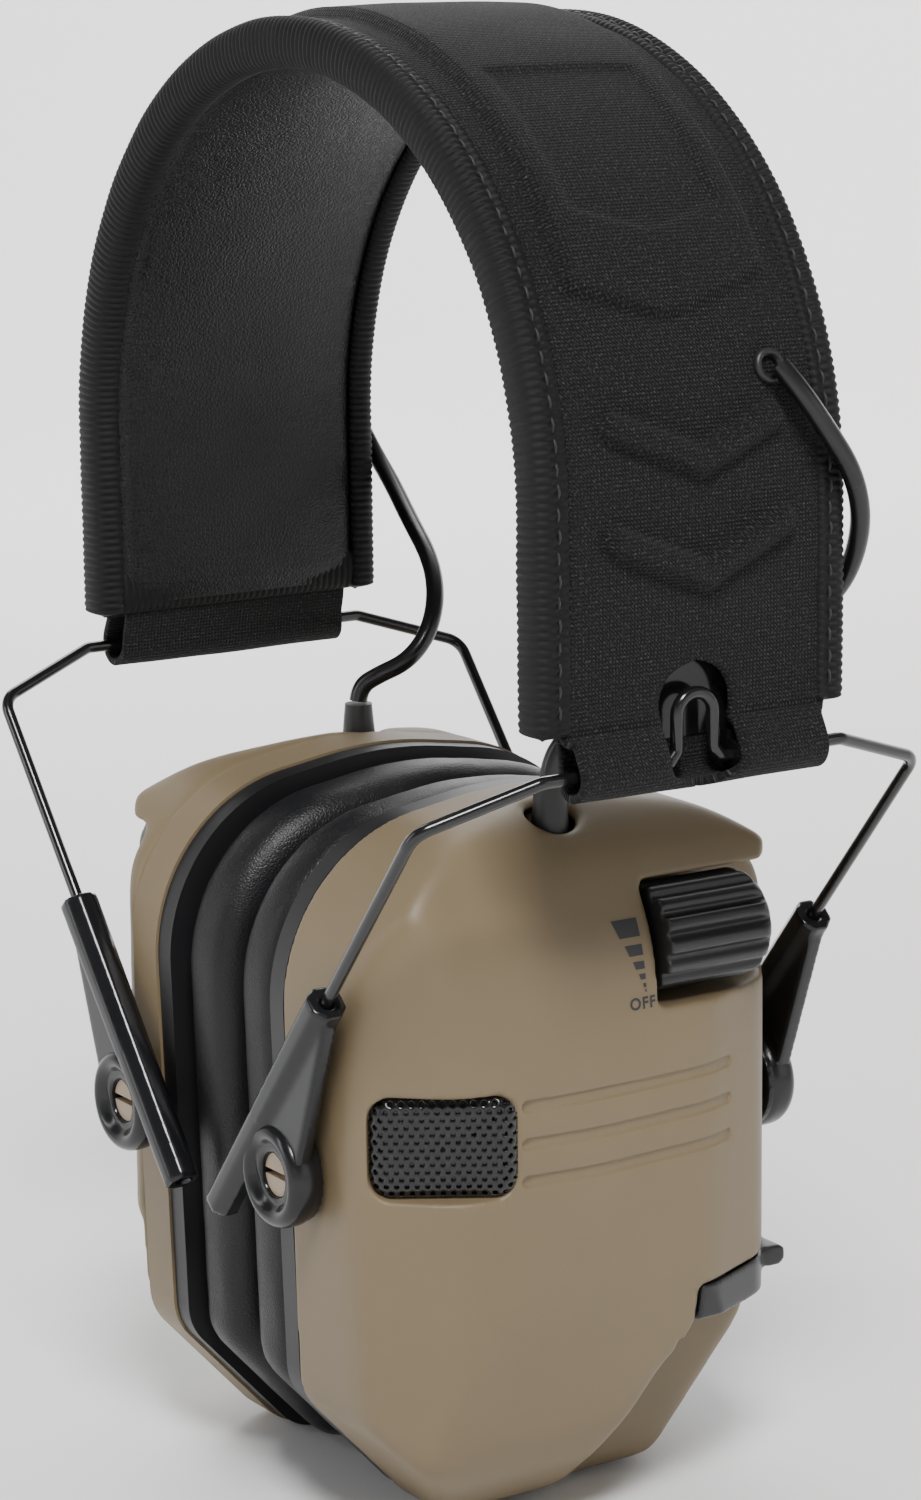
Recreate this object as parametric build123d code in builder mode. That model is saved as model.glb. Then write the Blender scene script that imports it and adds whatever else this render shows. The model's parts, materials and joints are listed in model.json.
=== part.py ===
"""Electronic earmuff hearing protector: padded spring headband, wire yokes, slider blocks and two cups.

X runs from ear to ear with the right cup at +X, Y runs across the band and Z is up. The origin is the
middle of the head, halfway between the two cups and at the height of the pins that they tilt on.
The right-hand pieces are modelled where they stand. The left-hand ones are the same pieces turned
half round Z, or mirrored where the cable side has to stay at +Y.
"""
from build123d import *
from math import cos, degrees, pi, radians, sin, tan
import os

# headband: a half circle over the head, with straight legs down to the yoke hinges
BAND_OUTER_RADIUS = 62.7
BAND_CENTRE_Z = 94.5
BAND_HALF_WIDTH = 24.3
BINDING_WIDTH = 2.6
BINDING_PROUD = 0.5
COVER_THICKNESS = 2.3
STEEL_THICKNESS = 0.8
STEEL_HALF_WIDTH = 12.0
PAD_THICKNESS = 2.2
BAND_END_Z = 66.0
LAYER_GAP = 0.15
LEAD_ANGLE = 70.0
FLEX_ANGLE = 35.0
FLEX_GAP = 0.2

# yoke hinge at each end of the band
HINGE_X = 62.6
HINGE_Z = 60.5
WIRE_RADIUS = 0.9
BORE_CLEARANCE = 0.08
SLEEVE_RADIUS = 3.3
SLEEVE_HALF_WIDTH = 20.0
CUTOUT_HALF_WIDTH = 5.4
CUTOUT_TOP_Z = 74.0
HUMP_HALF_WIDTH = 3.0
HUMP_HEIGHT = 9.2
KNUCKLE_INNER_Y = 5.9
KNUCKLE_OUTER_Y = 9.6
KNUCKLE_RADIUS = 2.1
END_PLATE_HALF_WIDTH = 9.6
END_PLATE_TOP_Z = 80.0

# yoke wire: across the hinge, out along a short arm, then down a straight leg that the slider runs on
ARM_START_Y = 24.7
LEG_Y = 41.8
BEND_X = 58.0
BEND_Z = 55.0
LEG_SLOPE = 39.4
LEG_LENGTH = 62.0

# slider block: a tube on the leg, and a ring that carries the cup
BLOCK_START = 35.2
BLOCK_LENGTH = 47.0
BLOCK_RADIUS = 2.6
RING_X = 22.0
RING_RADIUS = 7.2
RING_HOLE_RADIUS = 3.2
RING_INNER_Y = 38.8
RING_OUTER_Y = 42.8
PIN_CLEARANCE = 0.1
PIN_RADIUS = RING_HOLE_RADIUS - PIN_CLEARANCE
PIN_START_Y = 36.4
PIN_END_Y = 42.2
PIN_SLOT = 0.9

# cup: shield outline in YZ, and depth outward from the rim
RIM_X = 18.0
FACE_X = 48.3
CUP_TOP_Z = 50.5
CUP_SHOULDER_Z = 44.5
CUP_TOP_HALF_WIDTH = 39.2
CUP_LOW_HALF_WIDTH = 37.0
CUP_CORNER_Z = -34.5
CUP_BOTTOM_Z = -55.0
CUP_BOTTOM_HALF_WIDTH = 18.5
CUP_WALL = 2.2
FIT_GAP = 0.15
SEAM_X = 25.6
BAFFLE_X = 26.0
BAFFLE_THICKNESS = 1.8

# cushion side of the cup
CUSHION_FACE_X = 1.5
PLATE_THICKNESS = 3.6
EAR_WIDTH = 42.0
EAR_HEIGHT = 68.0
FOAM_THICKNESS = 5.0
SPEAKER_RADIUS = 18.0
SPEAKER_DEPTH = 6.0
SPEAKER_Y = -6.0
SPEAKER_Z = -4.0
BOARD_Y = -7.5
BOARD_Z = -6.0
BOARD_WIDTH = 24.0
BOARD_HEIGHT = 44.0
SCREW_PLACES = [(-24, 34), (-24, -34), (-9, -44), (-6, 38)]

# volume knob and its recess
KNOB_X = 40.4
KNOB_Z = 30.4
KNOB_RADIUS = 7.8
KNOB_START_Y = 7.0
KNOB_LENGTH = 18.5
KNOB_RIBS = 14
RIB_RADIUS = 1.05
RIB_HEIGHT = 1.1
RIB_FLAT = 0.12
RECESS_START_Y = 6.0
RECESS_BOTTOM_Z = 21.6
RECESS_TOP_Z = 38.9
SHAFT_RADIUS = 2.0

# battery compartment under the knob
BOX_BOTTOM_Z = -20.5
DOOR_HEIGHT = 5.6
DOOR_WALL = 1.0
DOOR_EDGE_Y = 13.2
DOOR_HINGE_Y = 10.2
LEDGE_X = 27.0
SKIN_X = 44.8
TAB_X = 35.5
TAB_Y = 32.6
CELL_RADIUS = 5.25
CELL_LENGTH = 44.5
CELL_X = 39.2
CELL_Y = 16.4
CELL_TURN = 122.0
CONTACT_THICKNESS = 0.4

# microphone opening and the three grooves beside it
GRILLE_X = 43.0
GRILLE_CENTRE_Y = -28.2
GRILLE_CENTRE_Z = 6.2
GRILLE_TURN = -33.0
GRILLE_WIDTH = 20.7
GRILLE_HEIGHT = 14.8
GRILLE_THICKNESS = 0.8
WELL_DEPTH = 2.6
MESH_COLUMN = 1.2
MESH_ROW = 2.05
MESH_HOLE = 0.95
MIC_RADIUS = 3.0
GROOVE_LENGTH = 37.5
GROOVE_WIDTH = 1.7
GROOVE_DEPTH = 0.5
GROOVE_PITCH = 5.4
GROOVE_CENTRE_Y = 1.2
GROOVE_CENTRE_Z = 6.0

# signal cable between the cups
CABLE_RADIUS = 1.4
GLANDS = {"right": (32.0, -2.5), "left": (31.4, -5.5)}
GLAND_RADIUS = 3.0
GLAND_BASE_Z = 43.0
GLAND_TOP_Z = 53.0
GROMMET_Y = 13.5
GROMMET_Z = 112.0
GROMMET_PROUD = 1.2
RIGHT_CABLE = [
    (62.8, 13.8, 112.4), (64.9, 15.6, 109.3), (65.9, 19.2, 104.0), (65.9, 23.8, 98.0),
    (64.2, 27.0, 91.5), (61.0, 28.4, 85.0), (57.0, 28.2, 79.4), (51.5, 25.0, 74.5),
    (44.5, 18.5, 70.0), (38.0, 9.5, 65.5), (33.8, 1.8, 60.5), (32.1, -2.2, 56.6), (32.0, -2.5, 53.1),
]
LEFT_CABLE = [
    (-62.8, 13.8, 112.4), (-64.9, 15.6, 109.3), (-65.9, 19.2, 104.0), (-65.9, 23.8, 98.0),
    (-64.4, 26.8, 92.0), (-60.8, 27.6, 87.0), (-54.5, 26.8, 83.0), (-45.5, 24.4, 78.2),
    (-35.5, 21.8, 73.4), (-29.0, 18.6, 68.6), (-26.0, 15.0, 63.5), (-26.4, 11.4, 59.6),
    (-29.4, 7.8, 57.4), (-31.3, 5.8, 55.6), (-31.4, 5.5, 53.4),
]

SIDES = {"right": 0, "left": 180}

os.makedirs("parts", exist_ok=True)


def finish(part, name):
    """Label a finished piece and write its STEP file."""
    part.label = name
    export_step(part, f"parts/{name}.step")


def both_sides(part, name):
    """Write a right-hand piece, and the same piece turned half round Z for the left."""
    for side, turn in SIDES.items():
        finish(part.rotate(Axis.Z, turn), f"{name}_{side}")


# ---------------------------------------------------------------------------- headband


def band_layer(outer, thickness, start_y, width, end_z):
    """One layer of the arch: a half ring with straight legs, from start_y across by width."""
    inner = outer - thickness
    with BuildPart() as layer:
        with BuildSketch(Plane.XZ.offset(-start_y - width)) as profile:
            with Locations((0, BAND_CENTRE_Z)):
                Circle(outer)
                Circle(inner, mode=Mode.SUBTRACT)
                Rectangle(2 * outer, outer, align=(Align.CENTER, Align.MAX), mode=Mode.SUBTRACT)
            for side in (-1, 1):
                with Locations((side * (inner + thickness / 2), end_z)):
                    Rectangle(thickness, BAND_CENTRE_Z - end_z, align=(Align.CENTER, Align.MIN))
        extrude(amount=width)
    return layer.part


def arch_wedge(start, stop):
    """A wedge of the arch between two angles from straight up, wide enough to cut every layer."""
    reach = 4 * BAND_OUTER_RADIUS
    corners = [(reach * sin(radians(a)), BAND_CENTRE_Z + reach * cos(radians(a))) for a in (start, stop)]
    with BuildPart() as wedge:
        with BuildSketch(Plane.XZ.offset(-2 * BAND_HALF_WIDTH)) as profile:
            with BuildLine():
                Polyline((0, BAND_CENTRE_Z), *corners, close=True)
            make_face()
        extrude(amount=4 * BAND_HALF_WIDTH)
    return wedge.part


def flex_edge(angle, shift):
    """Angle at the outer radius that lies shift millimetres round the arch from angle."""
    return angle + degrees(shift / BAND_OUTER_RADIUS)


def crown_and_arms(layer, name):
    """Cut a layer at the two flex lines and write its crown and its two arms."""
    crown = arch_wedge(-FLEX_ANGLE, FLEX_ANGLE)
    arms = arch_wedge(-flex_edge(FLEX_ANGLE, FLEX_GAP), flex_edge(FLEX_ANGLE, FLEX_GAP))
    sides = layer - arms
    finish(layer & crown, f"{name}_crown")
    halves = sides.solids().sort_by(Axis.X)
    middle = len(halves) // 2
    finish(Part() + halves[middle:], f"{name}_right")
    finish(Part() + halves[:middle], f"{name}_left")


def cover_cutout():
    """The U-shaped window over the hinge, through the outer cover of both arms."""
    height = CUTOUT_TOP_Z - BAND_END_Z
    with BuildPart() as cutout:
        with BuildSketch(Plane.YZ.offset(-2 * BAND_OUTER_RADIUS)) as window:
            with Locations((0, BAND_END_Z + height / 2 - 1)):
                Rectangle(2 * CUTOUT_HALF_WIDTH, height + 2)
            fillet(window.vertices().group_by(Axis.Y)[-1], 4.0)
        extrude(amount=4 * BAND_OUTER_RADIUS)
    return cutout.part


steel_outer = BAND_OUTER_RADIUS - COVER_THICKNESS - LAYER_GAP
pad_outer = steel_outer - STEEL_THICKNESS - LAYER_GAP
pad_inner = pad_outer - PAD_THICKNESS
inside_half = BAND_HALF_WIDTH - BINDING_WIDTH - LAYER_GAP


def grommet_hole():
    """Clear hole through the cover for the cable grommets, on both arms."""
    holes = Part()
    for side in (-1, 1):
        holes += grommet_plane(side, -COVER_THICKNESS - LAYER_GAP) * Cylinder(
            GLAND_RADIUS + LAYER_GAP, 20, align=(Align.CENTER, Align.CENTER, Align.MIN)
        )
    return holes


def grommet_plane(side, depth):
    """A plane on the band's outer face at the grommet, facing outward, moved out by depth."""
    rise = GROMMET_Z - BAND_CENTRE_Z
    outward = Vector(side * (BAND_OUTER_RADIUS**2 - rise**2) ** 0.5, 0, rise).normalized()
    seat = Vector(0, GROMMET_Y, BAND_CENTRE_Z) + outward * (BAND_OUTER_RADIUS + depth)
    return Plane(origin=seat, x_dir=(0, 1, 0), z_dir=outward)


def band_lead(radius):
    """The cable's run inside the band: a round arc between the two grommets."""
    start = radians(LEAD_ANGLE)
    middle = steel_outer - STEEL_THICKNESS / 2
    seat = Plane(
        origin=(middle * sin(start), GROMMET_Y, BAND_CENTRE_Z + middle * cos(start)),
        x_dir=(0, 1, 0),
        z_dir=(-cos(start), 0, sin(start)),
    )
    with BuildPart() as lead:
        with BuildSketch(seat):
            Circle(radius)
        revolve(axis=Axis((0, 0, BAND_CENTRE_Z), (0, -1, 0)), revolution_arc=2 * LEAD_ANGLE)
    return lead.part


lead_channel = band_lead(CABLE_RADIUS - LAYER_GAP)
finish(band_lead(CABLE_RADIUS - 2 * LAYER_GAP), "band_cable")

cover = band_layer(BAND_OUTER_RADIUS, COVER_THICKNESS, -inside_half, 2 * inside_half, BAND_END_Z)
cover = cover - cover_cutout() - grommet_hole() - lead_channel
crown_and_arms(cover, "outer_cover")

pad = band_layer(pad_outer, PAD_THICKNESS, -inside_half, 2 * inside_half, BAND_END_Z) - lead_channel
crown_and_arms(pad, "inner_pad")

binding_outer = BAND_OUTER_RADIUS + BINDING_PROUD
binding_depth = binding_outer - pad_inner + BINDING_PROUD
binding = band_layer(
    binding_outer, binding_depth, BAND_HALF_WIDTH - BINDING_WIDTH, BINDING_WIDTH, BAND_END_Z
)
binding = binding + mirror(binding, about=Plane.XZ)
crown_and_arms(binding, "edge_binding")

steel = band_layer(
    steel_outer, STEEL_THICKNESS, -STEEL_HALF_WIDTH, 2 * STEEL_HALF_WIDTH, END_PLATE_TOP_Z + 0.3
)
finish(steel, "spring_band")

# ribbed tape that closes the lower end of the pad, on the side toward the head
end_tape_height = 6.0
with BuildPart() as end_tape:
    with BuildSketch(Plane.XY.offset(BAND_END_Z + 0.5)):
        with Locations((pad_inner - 0.1 - 0.4, 0)):
            Rectangle(0.8, 2 * inside_half)
    extrude(amount=end_tape_height)
both_sides(end_tape.part, "end_binding")

# end plate: the hard end of the spring band, with two knuckles rolled round the yoke wire
with BuildPart() as end_plate:
    with BuildSketch(Plane.YZ.offset(steel_outer - STEEL_THICKNESS)) as plate_face:
        with Locations((0, (END_PLATE_TOP_Z + HINGE_Z + 3) / 2)):
            Rectangle(2 * END_PLATE_HALF_WIDTH, END_PLATE_TOP_Z - HINGE_Z - 3)
        fillet(plate_face.vertices().group_by(Axis.Y)[-1], 3.0)
    extrude(amount=STEEL_THICKNESS)
    for side in (-1, 1):
        middle_y = side * (KNUCKLE_INNER_Y + KNUCKLE_OUTER_Y) / 2
        width = KNUCKLE_OUTER_Y - KNUCKLE_INNER_Y
        with BuildSketch(Plane.XZ.offset(-middle_y - width / 2)):
            with Locations((HINGE_X, HINGE_Z)):
                Circle(KNUCKLE_RADIUS)
            with Locations((steel_outer - STEEL_THICKNESS, HINGE_Z)):
                Rectangle(HINGE_X - steel_outer + STEEL_THICKNESS - 0.6, 3.4, align=(Align.MIN, Align.MIN))
        extrude(amount=width)
    with Locations(Plane.XZ * Location((HINGE_X, HINGE_Z, 0))):
        Cylinder(WIRE_RADIUS + BORE_CLEARANCE, 4 * KNUCKLE_OUTER_Y, mode=Mode.SUBTRACT)
both_sides(end_plate.part, "end_plate")

# end sleeve: the cover's narrow tongue, turned under the yoke wire and stitched inside
sleeve_top_z = BAND_END_Z - LAYER_GAP
with BuildPart() as sleeve:
    with BuildSketch(Plane.XZ.offset(-SLEEVE_HALF_WIDTH)) as curl:
        with Locations((HINGE_X, HINGE_Z)):
            Circle(SLEEVE_RADIUS)
        with Locations((HINGE_X - SLEEVE_RADIUS, HINGE_Z)):
            Rectangle(2 * SLEEVE_RADIUS, sleeve_top_z - HINGE_Z, align=(Align.MIN, Align.MIN))
    extrude(amount=2 * SLEEVE_HALF_WIDTH)
    fillet(sleeve.edges().filter_by(Axis.Y).group_by(Axis.Z)[-1], 1.8)
    with Locations(Plane.XZ * Location((HINGE_X, HINGE_Z, 0))):
        Cylinder(WIRE_RADIUS + BORE_CLEARANCE, 4 * SLEEVE_HALF_WIDTH, mode=Mode.SUBTRACT)
        Cylinder(KNUCKLE_RADIUS + LAYER_GAP, 2 * KNUCKLE_OUTER_Y + 0.3, mode=Mode.SUBTRACT)
    with Locations((steel_outer - STEEL_THICKNESS - LAYER_GAP, 0, HINGE_Z)):
        Box(
            HINGE_X - steel_outer + STEEL_THICKNESS, 2 * END_PLATE_HALF_WIDTH + 0.3, 20,
            align=(Align.MIN, Align.CENTER, Align.MIN), mode=Mode.SUBTRACT,
        )
    with Locations((steel_outer + LAYER_GAP, 0, HINGE_Z)):
        Box(
            20, 2 * CUTOUT_HALF_WIDTH, 4 * SLEEVE_RADIUS,
            align=(Align.MIN, Align.CENTER, Align.CENTER), mode=Mode.SUBTRACT,
        )
both_sides(sleeve.part, "end_sleeve")

# ---------------------------------------------------------------------------- yoke wires

slope_x = -sin(radians(LEG_SLOPE))
slope_z = -cos(radians(LEG_SLOPE))


def along_leg(distance, y=LEG_Y):
    """The point of the leg's centre line that lies this far down from the bend."""
    return (BEND_X + slope_x * distance, y, BEND_Z + slope_z * distance)


def half_yoke_points():
    """Corner points of half a yoke, from the top of the hump to the end of the leg."""
    top = HINGE_Z + HUMP_HEIGHT
    foot = HUMP_HALF_WIDTH + 1.4
    return [
        (HINGE_X, 0, top),
        (HINGE_X, HUMP_HALF_WIDTH, top),
        (HINGE_X, HUMP_HALF_WIDTH, HINGE_Z + 1.6),
        (HINGE_X, foot, HINGE_Z),
        (HINGE_X, ARM_START_Y, HINGE_Z),
        (BEND_X, LEG_Y, BEND_Z),
        along_leg(LEG_LENGTH),
    ]


with BuildPart() as half_wire:
    with BuildLine() as wire_path:
        FilletPolyline(*half_yoke_points(), radius=[2.9, 1.0, 0.9, 2.5, 3.5])
    with BuildSketch(Plane(origin=wire_path.line @ 0, z_dir=wire_path.line % 0)):
        Circle(WIRE_RADIUS)
    sweep()
yoke_wire = half_wire.part + mirror(half_wire.part, about=Plane.XZ)
both_sides(yoke_wire, "yoke_wire")

# ---------------------------------------------------------------------------- slider blocks

leg_plane = Plane(origin=along_leg(BLOCK_START), x_dir=(0, 1, 0), z_dir=(slope_x, 0, slope_z))


def web_profile():
    """Side view of the block in XZ: a wide blade from the tube's top down to the ring."""
    top = along_leg(BLOCK_START + 1.0)
    low = along_leg(BLOCK_START + 33.0)
    outboard = (cos(radians(LEG_SLOPE)), -sin(radians(LEG_SLOPE)))
    return [
        (top[0], top[2]),
        (top[0] + 2.4 * outboard[0], top[2] + 2.4 * outboard[1]),
        (RING_X + 6.6, 2.6),
        (RING_X, -4.0),
        (low[0], low[2]),
    ]


with BuildPart() as block:
    with BuildSketch(leg_plane):
        RegularPolygon(BLOCK_RADIUS + 0.35, 8, rotation=22.5)
    with BuildSketch(leg_plane.offset(BLOCK_LENGTH)):
        RegularPolygon(BLOCK_RADIUS + 0.1, 8, rotation=22.5)
    loft()
    with BuildSketch(Plane.XZ.offset(-LEG_Y - 1.2)):
        with BuildLine():
            Polyline(*web_profile(), close=True)
        make_face()
    extrude(amount=2.4)
    with BuildSketch(Plane.XZ.offset(-RING_OUTER_Y)) as ring_face:
        with Locations((RING_X, 0)):
            Circle(RING_RADIUS)
    extrude(amount=RING_OUTER_Y - RING_INNER_Y)
    fillet(block.edges().filter_by(GeomType.CIRCLE).group_by(Axis.Y)[-1], 1.2)
    with Locations(Plane.XZ * Location((RING_X, 0, 0))):
        Cylinder(RING_HOLE_RADIUS, 4 * RING_OUTER_Y, mode=Mode.SUBTRACT)
    with BuildSketch(leg_plane.offset(-1)):
        Circle(WIRE_RADIUS + BORE_CLEARANCE)
    extrude(amount=BLOCK_LENGTH + 2, mode=Mode.SUBTRACT)
rear_block = block.part
front_block = mirror(rear_block, about=Plane.XZ)
finish(front_block, "slider_front_right")
finish(rear_block, "slider_rear_right")
finish(rear_block.rotate(Axis.Z, 180), "slider_front_left")
finish(front_block.rotate(Axis.Z, 180), "slider_rear_left")

# ---------------------------------------------------------------------------- cup shells


def shield_wire():
    """Corners and corner radii of the cup's outline in YZ."""
    half = [
        (0, CUP_TOP_Z, 60.0),
        (CUP_TOP_HALF_WIDTH, CUP_SHOULDER_Z, 26.0),
        (CUP_LOW_HALF_WIDTH, CUP_CORNER_Z, 9.0),
        (CUP_BOTTOM_HALF_WIDTH, CUP_BOTTOM_Z, 9.0),
    ]
    whole = half + [(-y, z, r) for y, z, r in reversed(half[1:])]
    return [(y, z) for y, z, _ in whole], [r for _, _, r in whole]


def shield_prism(inset, start_x, stop_x):
    """The cup's outline, drawn in by inset, as a straight prism from start_x to stop_x."""
    corners, radii = shield_wire()
    with BuildPart() as prism:
        with BuildSketch(Plane.YZ.offset(start_x)):
            with BuildLine():
                FilletPolyline(*corners, radius=radii, close=True)
            make_face()
            if inset:
                offset(amount=-inset)
        extrude(amount=stop_x - start_x)
    return prism.part


def plan_prism(inset):
    """What the cup's outer side leaves seen from above: steep at -Y, rounder at +Y over the cells."""
    corners = [(0, -41), (18, -39.6), (35.4, -37.6), (45.6, -27), (FACE_X, -6), (46.8, 15), (41, 28.2)]
    corners += [(31.5, 35.6), (24, 38.9), (0, 41)]
    radii = [1, 4, 9, 12, 60, 16, 9, 6, 4, 1]
    with BuildPart() as prism:
        with BuildSketch(Plane.XY.offset(-80)):
            with BuildLine():
                FilletPolyline(*corners, radius=radii, close=True)
            make_face()
            if inset:
                offset(amount=-inset)
        extrude(amount=160)
    return prism.part


def side_prism(inset):
    """What the cup's outer side leaves seen from the front: domed at the top, bevelled below."""
    corners = [(0, 52), (28, 50.6), (38, 45.5), (45.4, 31), (FACE_X, 6), (47.4, -16), (42.6, -42)]
    corners += [(30, -53.6), (0, -57)]
    radii = [1, 16, 16, 26, 60, 40, 14, 12, 1]
    with BuildPart() as prism:
        with BuildSketch(Plane.XZ.offset(-60)):
            with BuildLine():
                FilletPolyline(*corners, radius=radii, close=True)
            make_face()
            if inset:
                offset(amount=-inset)
        extrude(amount=120)
    return prism.part


def bevel_block(inset):
    """The corner that the cup's outer face loses beside and below the battery door."""
    corners = [(DOOR_EDGE_Y, BOX_BOTTOM_Z), (DOOR_EDGE_Y, BOX_BOTTOM_Z - DOOR_HEIGHT), (1.5, -43), (-2, -70)]
    corners += [(60, -70), (60, BOX_BOTTOM_Z)]
    if inset:
        corners = [(DOOR_HINGE_Y - inset, z + inset) for _, z in corners[:2]]
        corners += [(1.5 - inset, -43), (-2 - inset, -70), (60, -70), (60, BOX_BOTTOM_Z + inset)]
    with BuildPart() as bevel:
        with BuildSketch(Plane.YZ.offset(LEDGE_X - inset)):
            with BuildLine():
                Polyline(*corners, close=True)
            make_face()
        extrude(amount=60)
        if not inset:
            with BuildSketch(Plane.YZ.offset(LEDGE_X)):
                with BuildLine():
                    Polyline(
                        (DOOR_HINGE_Y, BOX_BOTTOM_Z), (DOOR_HINGE_Y, -31), (40, -31), (40, BOX_BOTTOM_Z),
                        close=True,
                    )
                make_face()
            extrude(amount=SKIN_X - LEDGE_X)
    return bevel.part


def bare_core(inset, start_x):
    """The cup's outer form before the battery corner is cut away, drawn in by inset."""
    return shield_prism(inset, start_x, 60) & plan_prism(inset) & side_prism(inset)


def cup_core(inset, start_x):
    """The cup's outer form with the battery corner cut away, drawn in by inset."""
    return bare_core(inset, start_x) - bevel_block(inset)


outer_form = cup_core(0, RIM_X)
hollow_form = cup_core(CUP_WALL, RIM_X - 1)
interior = cup_core(CUP_WALL, BAFFLE_X + BAFFLE_THICKNESS + FIT_GAP)
recess_back_x = KNOB_X - KNOB_RADIUS - 1.0

with BuildPart() as knob_recess:
    with BuildSketch(Plane.YZ.offset(recess_back_x)) as recess_face:
        with Locations((RECESS_START_Y, RECESS_BOTTOM_Z)):
            Rectangle(50, RECESS_TOP_Z - RECESS_BOTTOM_Z, align=(Align.MIN, Align.MIN))
        fillet(recess_face.vertices().group_by(Axis.X)[0], 1.2)
    extrude(amount=40)

# walls round the knob recess, the microphone well and the cells stand inside the cap
with BuildPart() as recess_wall:
    with BuildSketch(Plane.YZ.offset(recess_back_x - CUP_WALL)):
        with Locations((RECESS_START_Y - CUP_WALL, RECESS_BOTTOM_Z - CUP_WALL)):
            Rectangle(60, RECESS_TOP_Z - RECESS_BOTTOM_Z + 2 * CUP_WALL, align=(Align.MIN, Align.MIN))
    extrude(amount=40)

well_plane = Plane(
    origin=(GRILLE_X, GRILLE_CENTRE_Y, GRILLE_CENTRE_Z),
    x_dir=(-sin(radians(GRILLE_TURN)), cos(radians(GRILLE_TURN)), 0),
    z_dir=(cos(radians(GRILLE_TURN)), sin(radians(GRILLE_TURN)), 0),
)

with BuildPart() as grille_well:
    with BuildSketch(well_plane.offset(-WELL_DEPTH)):
        RectangleRounded(GRILLE_WIDTH, GRILLE_HEIGHT, 3.4)
    extrude(amount=20)

with BuildPart() as grille_port:
    with BuildSketch(well_plane.offset(-WELL_DEPTH - 2 * CUP_WALL)):
        RectangleRounded(GRILLE_WIDTH - 3, GRILLE_HEIGHT - 3, 2.0)
    extrude(amount=20)

with BuildPart() as grille_wall:
    with BuildSketch(well_plane.offset(-WELL_DEPTH - CUP_WALL)):
        RectangleRounded(GRILLE_WIDTH + 2 * CUP_WALL, GRILLE_HEIGHT + 2 * CUP_WALL, 4.5)
    extrude(amount=20)

with BuildPart() as groove_slots:
    with BuildSketch(Plane.YZ.offset(FACE_X - 10)):
        for row in (-1, 0, 1):
            with Locations((GROOVE_CENTRE_Y, GROOVE_CENTRE_Z + row * GROOVE_PITCH)):
                SlotOverall(GROOVE_LENGTH, GROOVE_WIDTH)
    extrude(amount=20)
grooves = groove_slots.part - cup_core(GROOVE_DEPTH, 0)

cell_turn = radians(CELL_TURN)
cell_places = [
    (CELL_X, CELL_Y),
    (CELL_X + (2 * CELL_RADIUS + 0.2) * cos(cell_turn), CELL_Y + (2 * CELL_RADIUS + 0.2) * sin(cell_turn)),
]
cell_middle = ((cell_places[0][0] + cell_places[1][0]) / 2, (cell_places[0][1] + cell_places[1][1]) / 2)


def cell_slot(margin, bottom_z, top_z):
    """The pair of cells as one upright slot, wider than the cells by margin all round."""
    with BuildPart() as slot:
        with BuildSketch(Plane.XY.offset(bottom_z)):
            with Locations(cell_middle):
                SlotOverall(
                    4 * CELL_RADIUS + 0.2 + 2 * margin, 2 * (CELL_RADIUS + margin), rotation=CELL_TURN
                )
        extrude(amount=top_z - bottom_z)
    return slot.part


floor_z = BOX_BOTTOM_Z - DOOR_HEIGHT + DOOR_WALL
cell_top_z = floor_z + FIT_GAP + CELL_LENGTH
bay_top_z = cell_top_z + CONTACT_THICKNESS + 2 * FIT_GAP
cell_bay = cell_slot(FIT_GAP, floor_z - DOOR_WALL - 0.3, bay_top_z)
bay_wall = cell_slot(FIT_GAP + 1.0, BOX_BOTTOM_Z, bay_top_z + 1.0)


def pin_holes(radius):
    """Holes through both sides of the cup on the tilt axis."""
    with BuildPart() as holes:
        with Locations(Plane.XZ * Location((RING_X, 0, 0))):
            Cylinder(radius, 2 * RING_OUTER_Y)
    return holes.part - cup_core(2 * CUP_WALL + FIT_GAP, 0)


def outer_cap(gland_place, skirt_x):
    """The moulded outer cap: a thin domed wall with the knob recess, grille well and grooves."""
    walls = (recess_wall.part + grille_wall.part + bay_wall) & interior
    cap = outer_form - (hollow_form - walls)
    cap = cap - knob_recess.part - grille_well.part - grille_port.part - grooves - cell_bay
    with BuildPart() as notch:
        with Locations((*gland_place, GLAND_BASE_Z)):
            Cylinder(GLAND_RADIUS + 0.2, 30, align=(Align.CENTER, Align.CENTER, Align.MIN))
        with Locations(Plane.XZ * Location((KNOB_X, KNOB_Z, 0))):
            Cylinder(SHAFT_RADIUS + PIN_CLEARANCE, 2 * RECESS_START_Y + 2)
        if skirt_x > RIM_X:
            with Locations((skirt_x, 0, 0)):
                Box(40, 200, 200, align=(Align.MAX, Align.CENTER, Align.CENTER))
    return cap - notch.part - pin_holes(PIN_RADIUS + FIT_GAP / 2)


def base_shell(ring_stop_x):
    """The inner shell: a ring with a baffle, and the speaker's hole through it."""
    stop_x = BAFFLE_X + BAFFLE_THICKNESS
    block = cup_core(CUP_WALL + FIT_GAP, RIM_X)
    if ring_stop_x > RIM_X:
        block = block + (outer_form & shield_prism(-5, RIM_X, ring_stop_x))
    block = block & shield_prism(-5, RIM_X, stop_x)
    with BuildPart() as speaker_hole:
        with Locations(Plane.YZ * Location((SPEAKER_Y, SPEAKER_Z, 0))):
            Cylinder(SPEAKER_RADIUS - 1, 200)
    shell = block - shield_prism(2 * CUP_WALL + FIT_GAP, 0, BAFFLE_X) - speaker_hole.part
    return shell - pin_holes(PIN_RADIUS + FIT_GAP / 2)


SKIRTS = {"right": RIM_X, "left": SEAM_X}
for side, turn in SIDES.items():
    finish(outer_cap(GLANDS[side], SKIRTS[side]).rotate(Axis.Z, turn), f"outer_cap_{side}")
    finish(base_shell(SKIRTS[side] - FIT_GAP).rotate(Axis.Z, turn), f"base_shell_{side}")

# ---------------------------------------------------------------------------- cushion side

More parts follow.
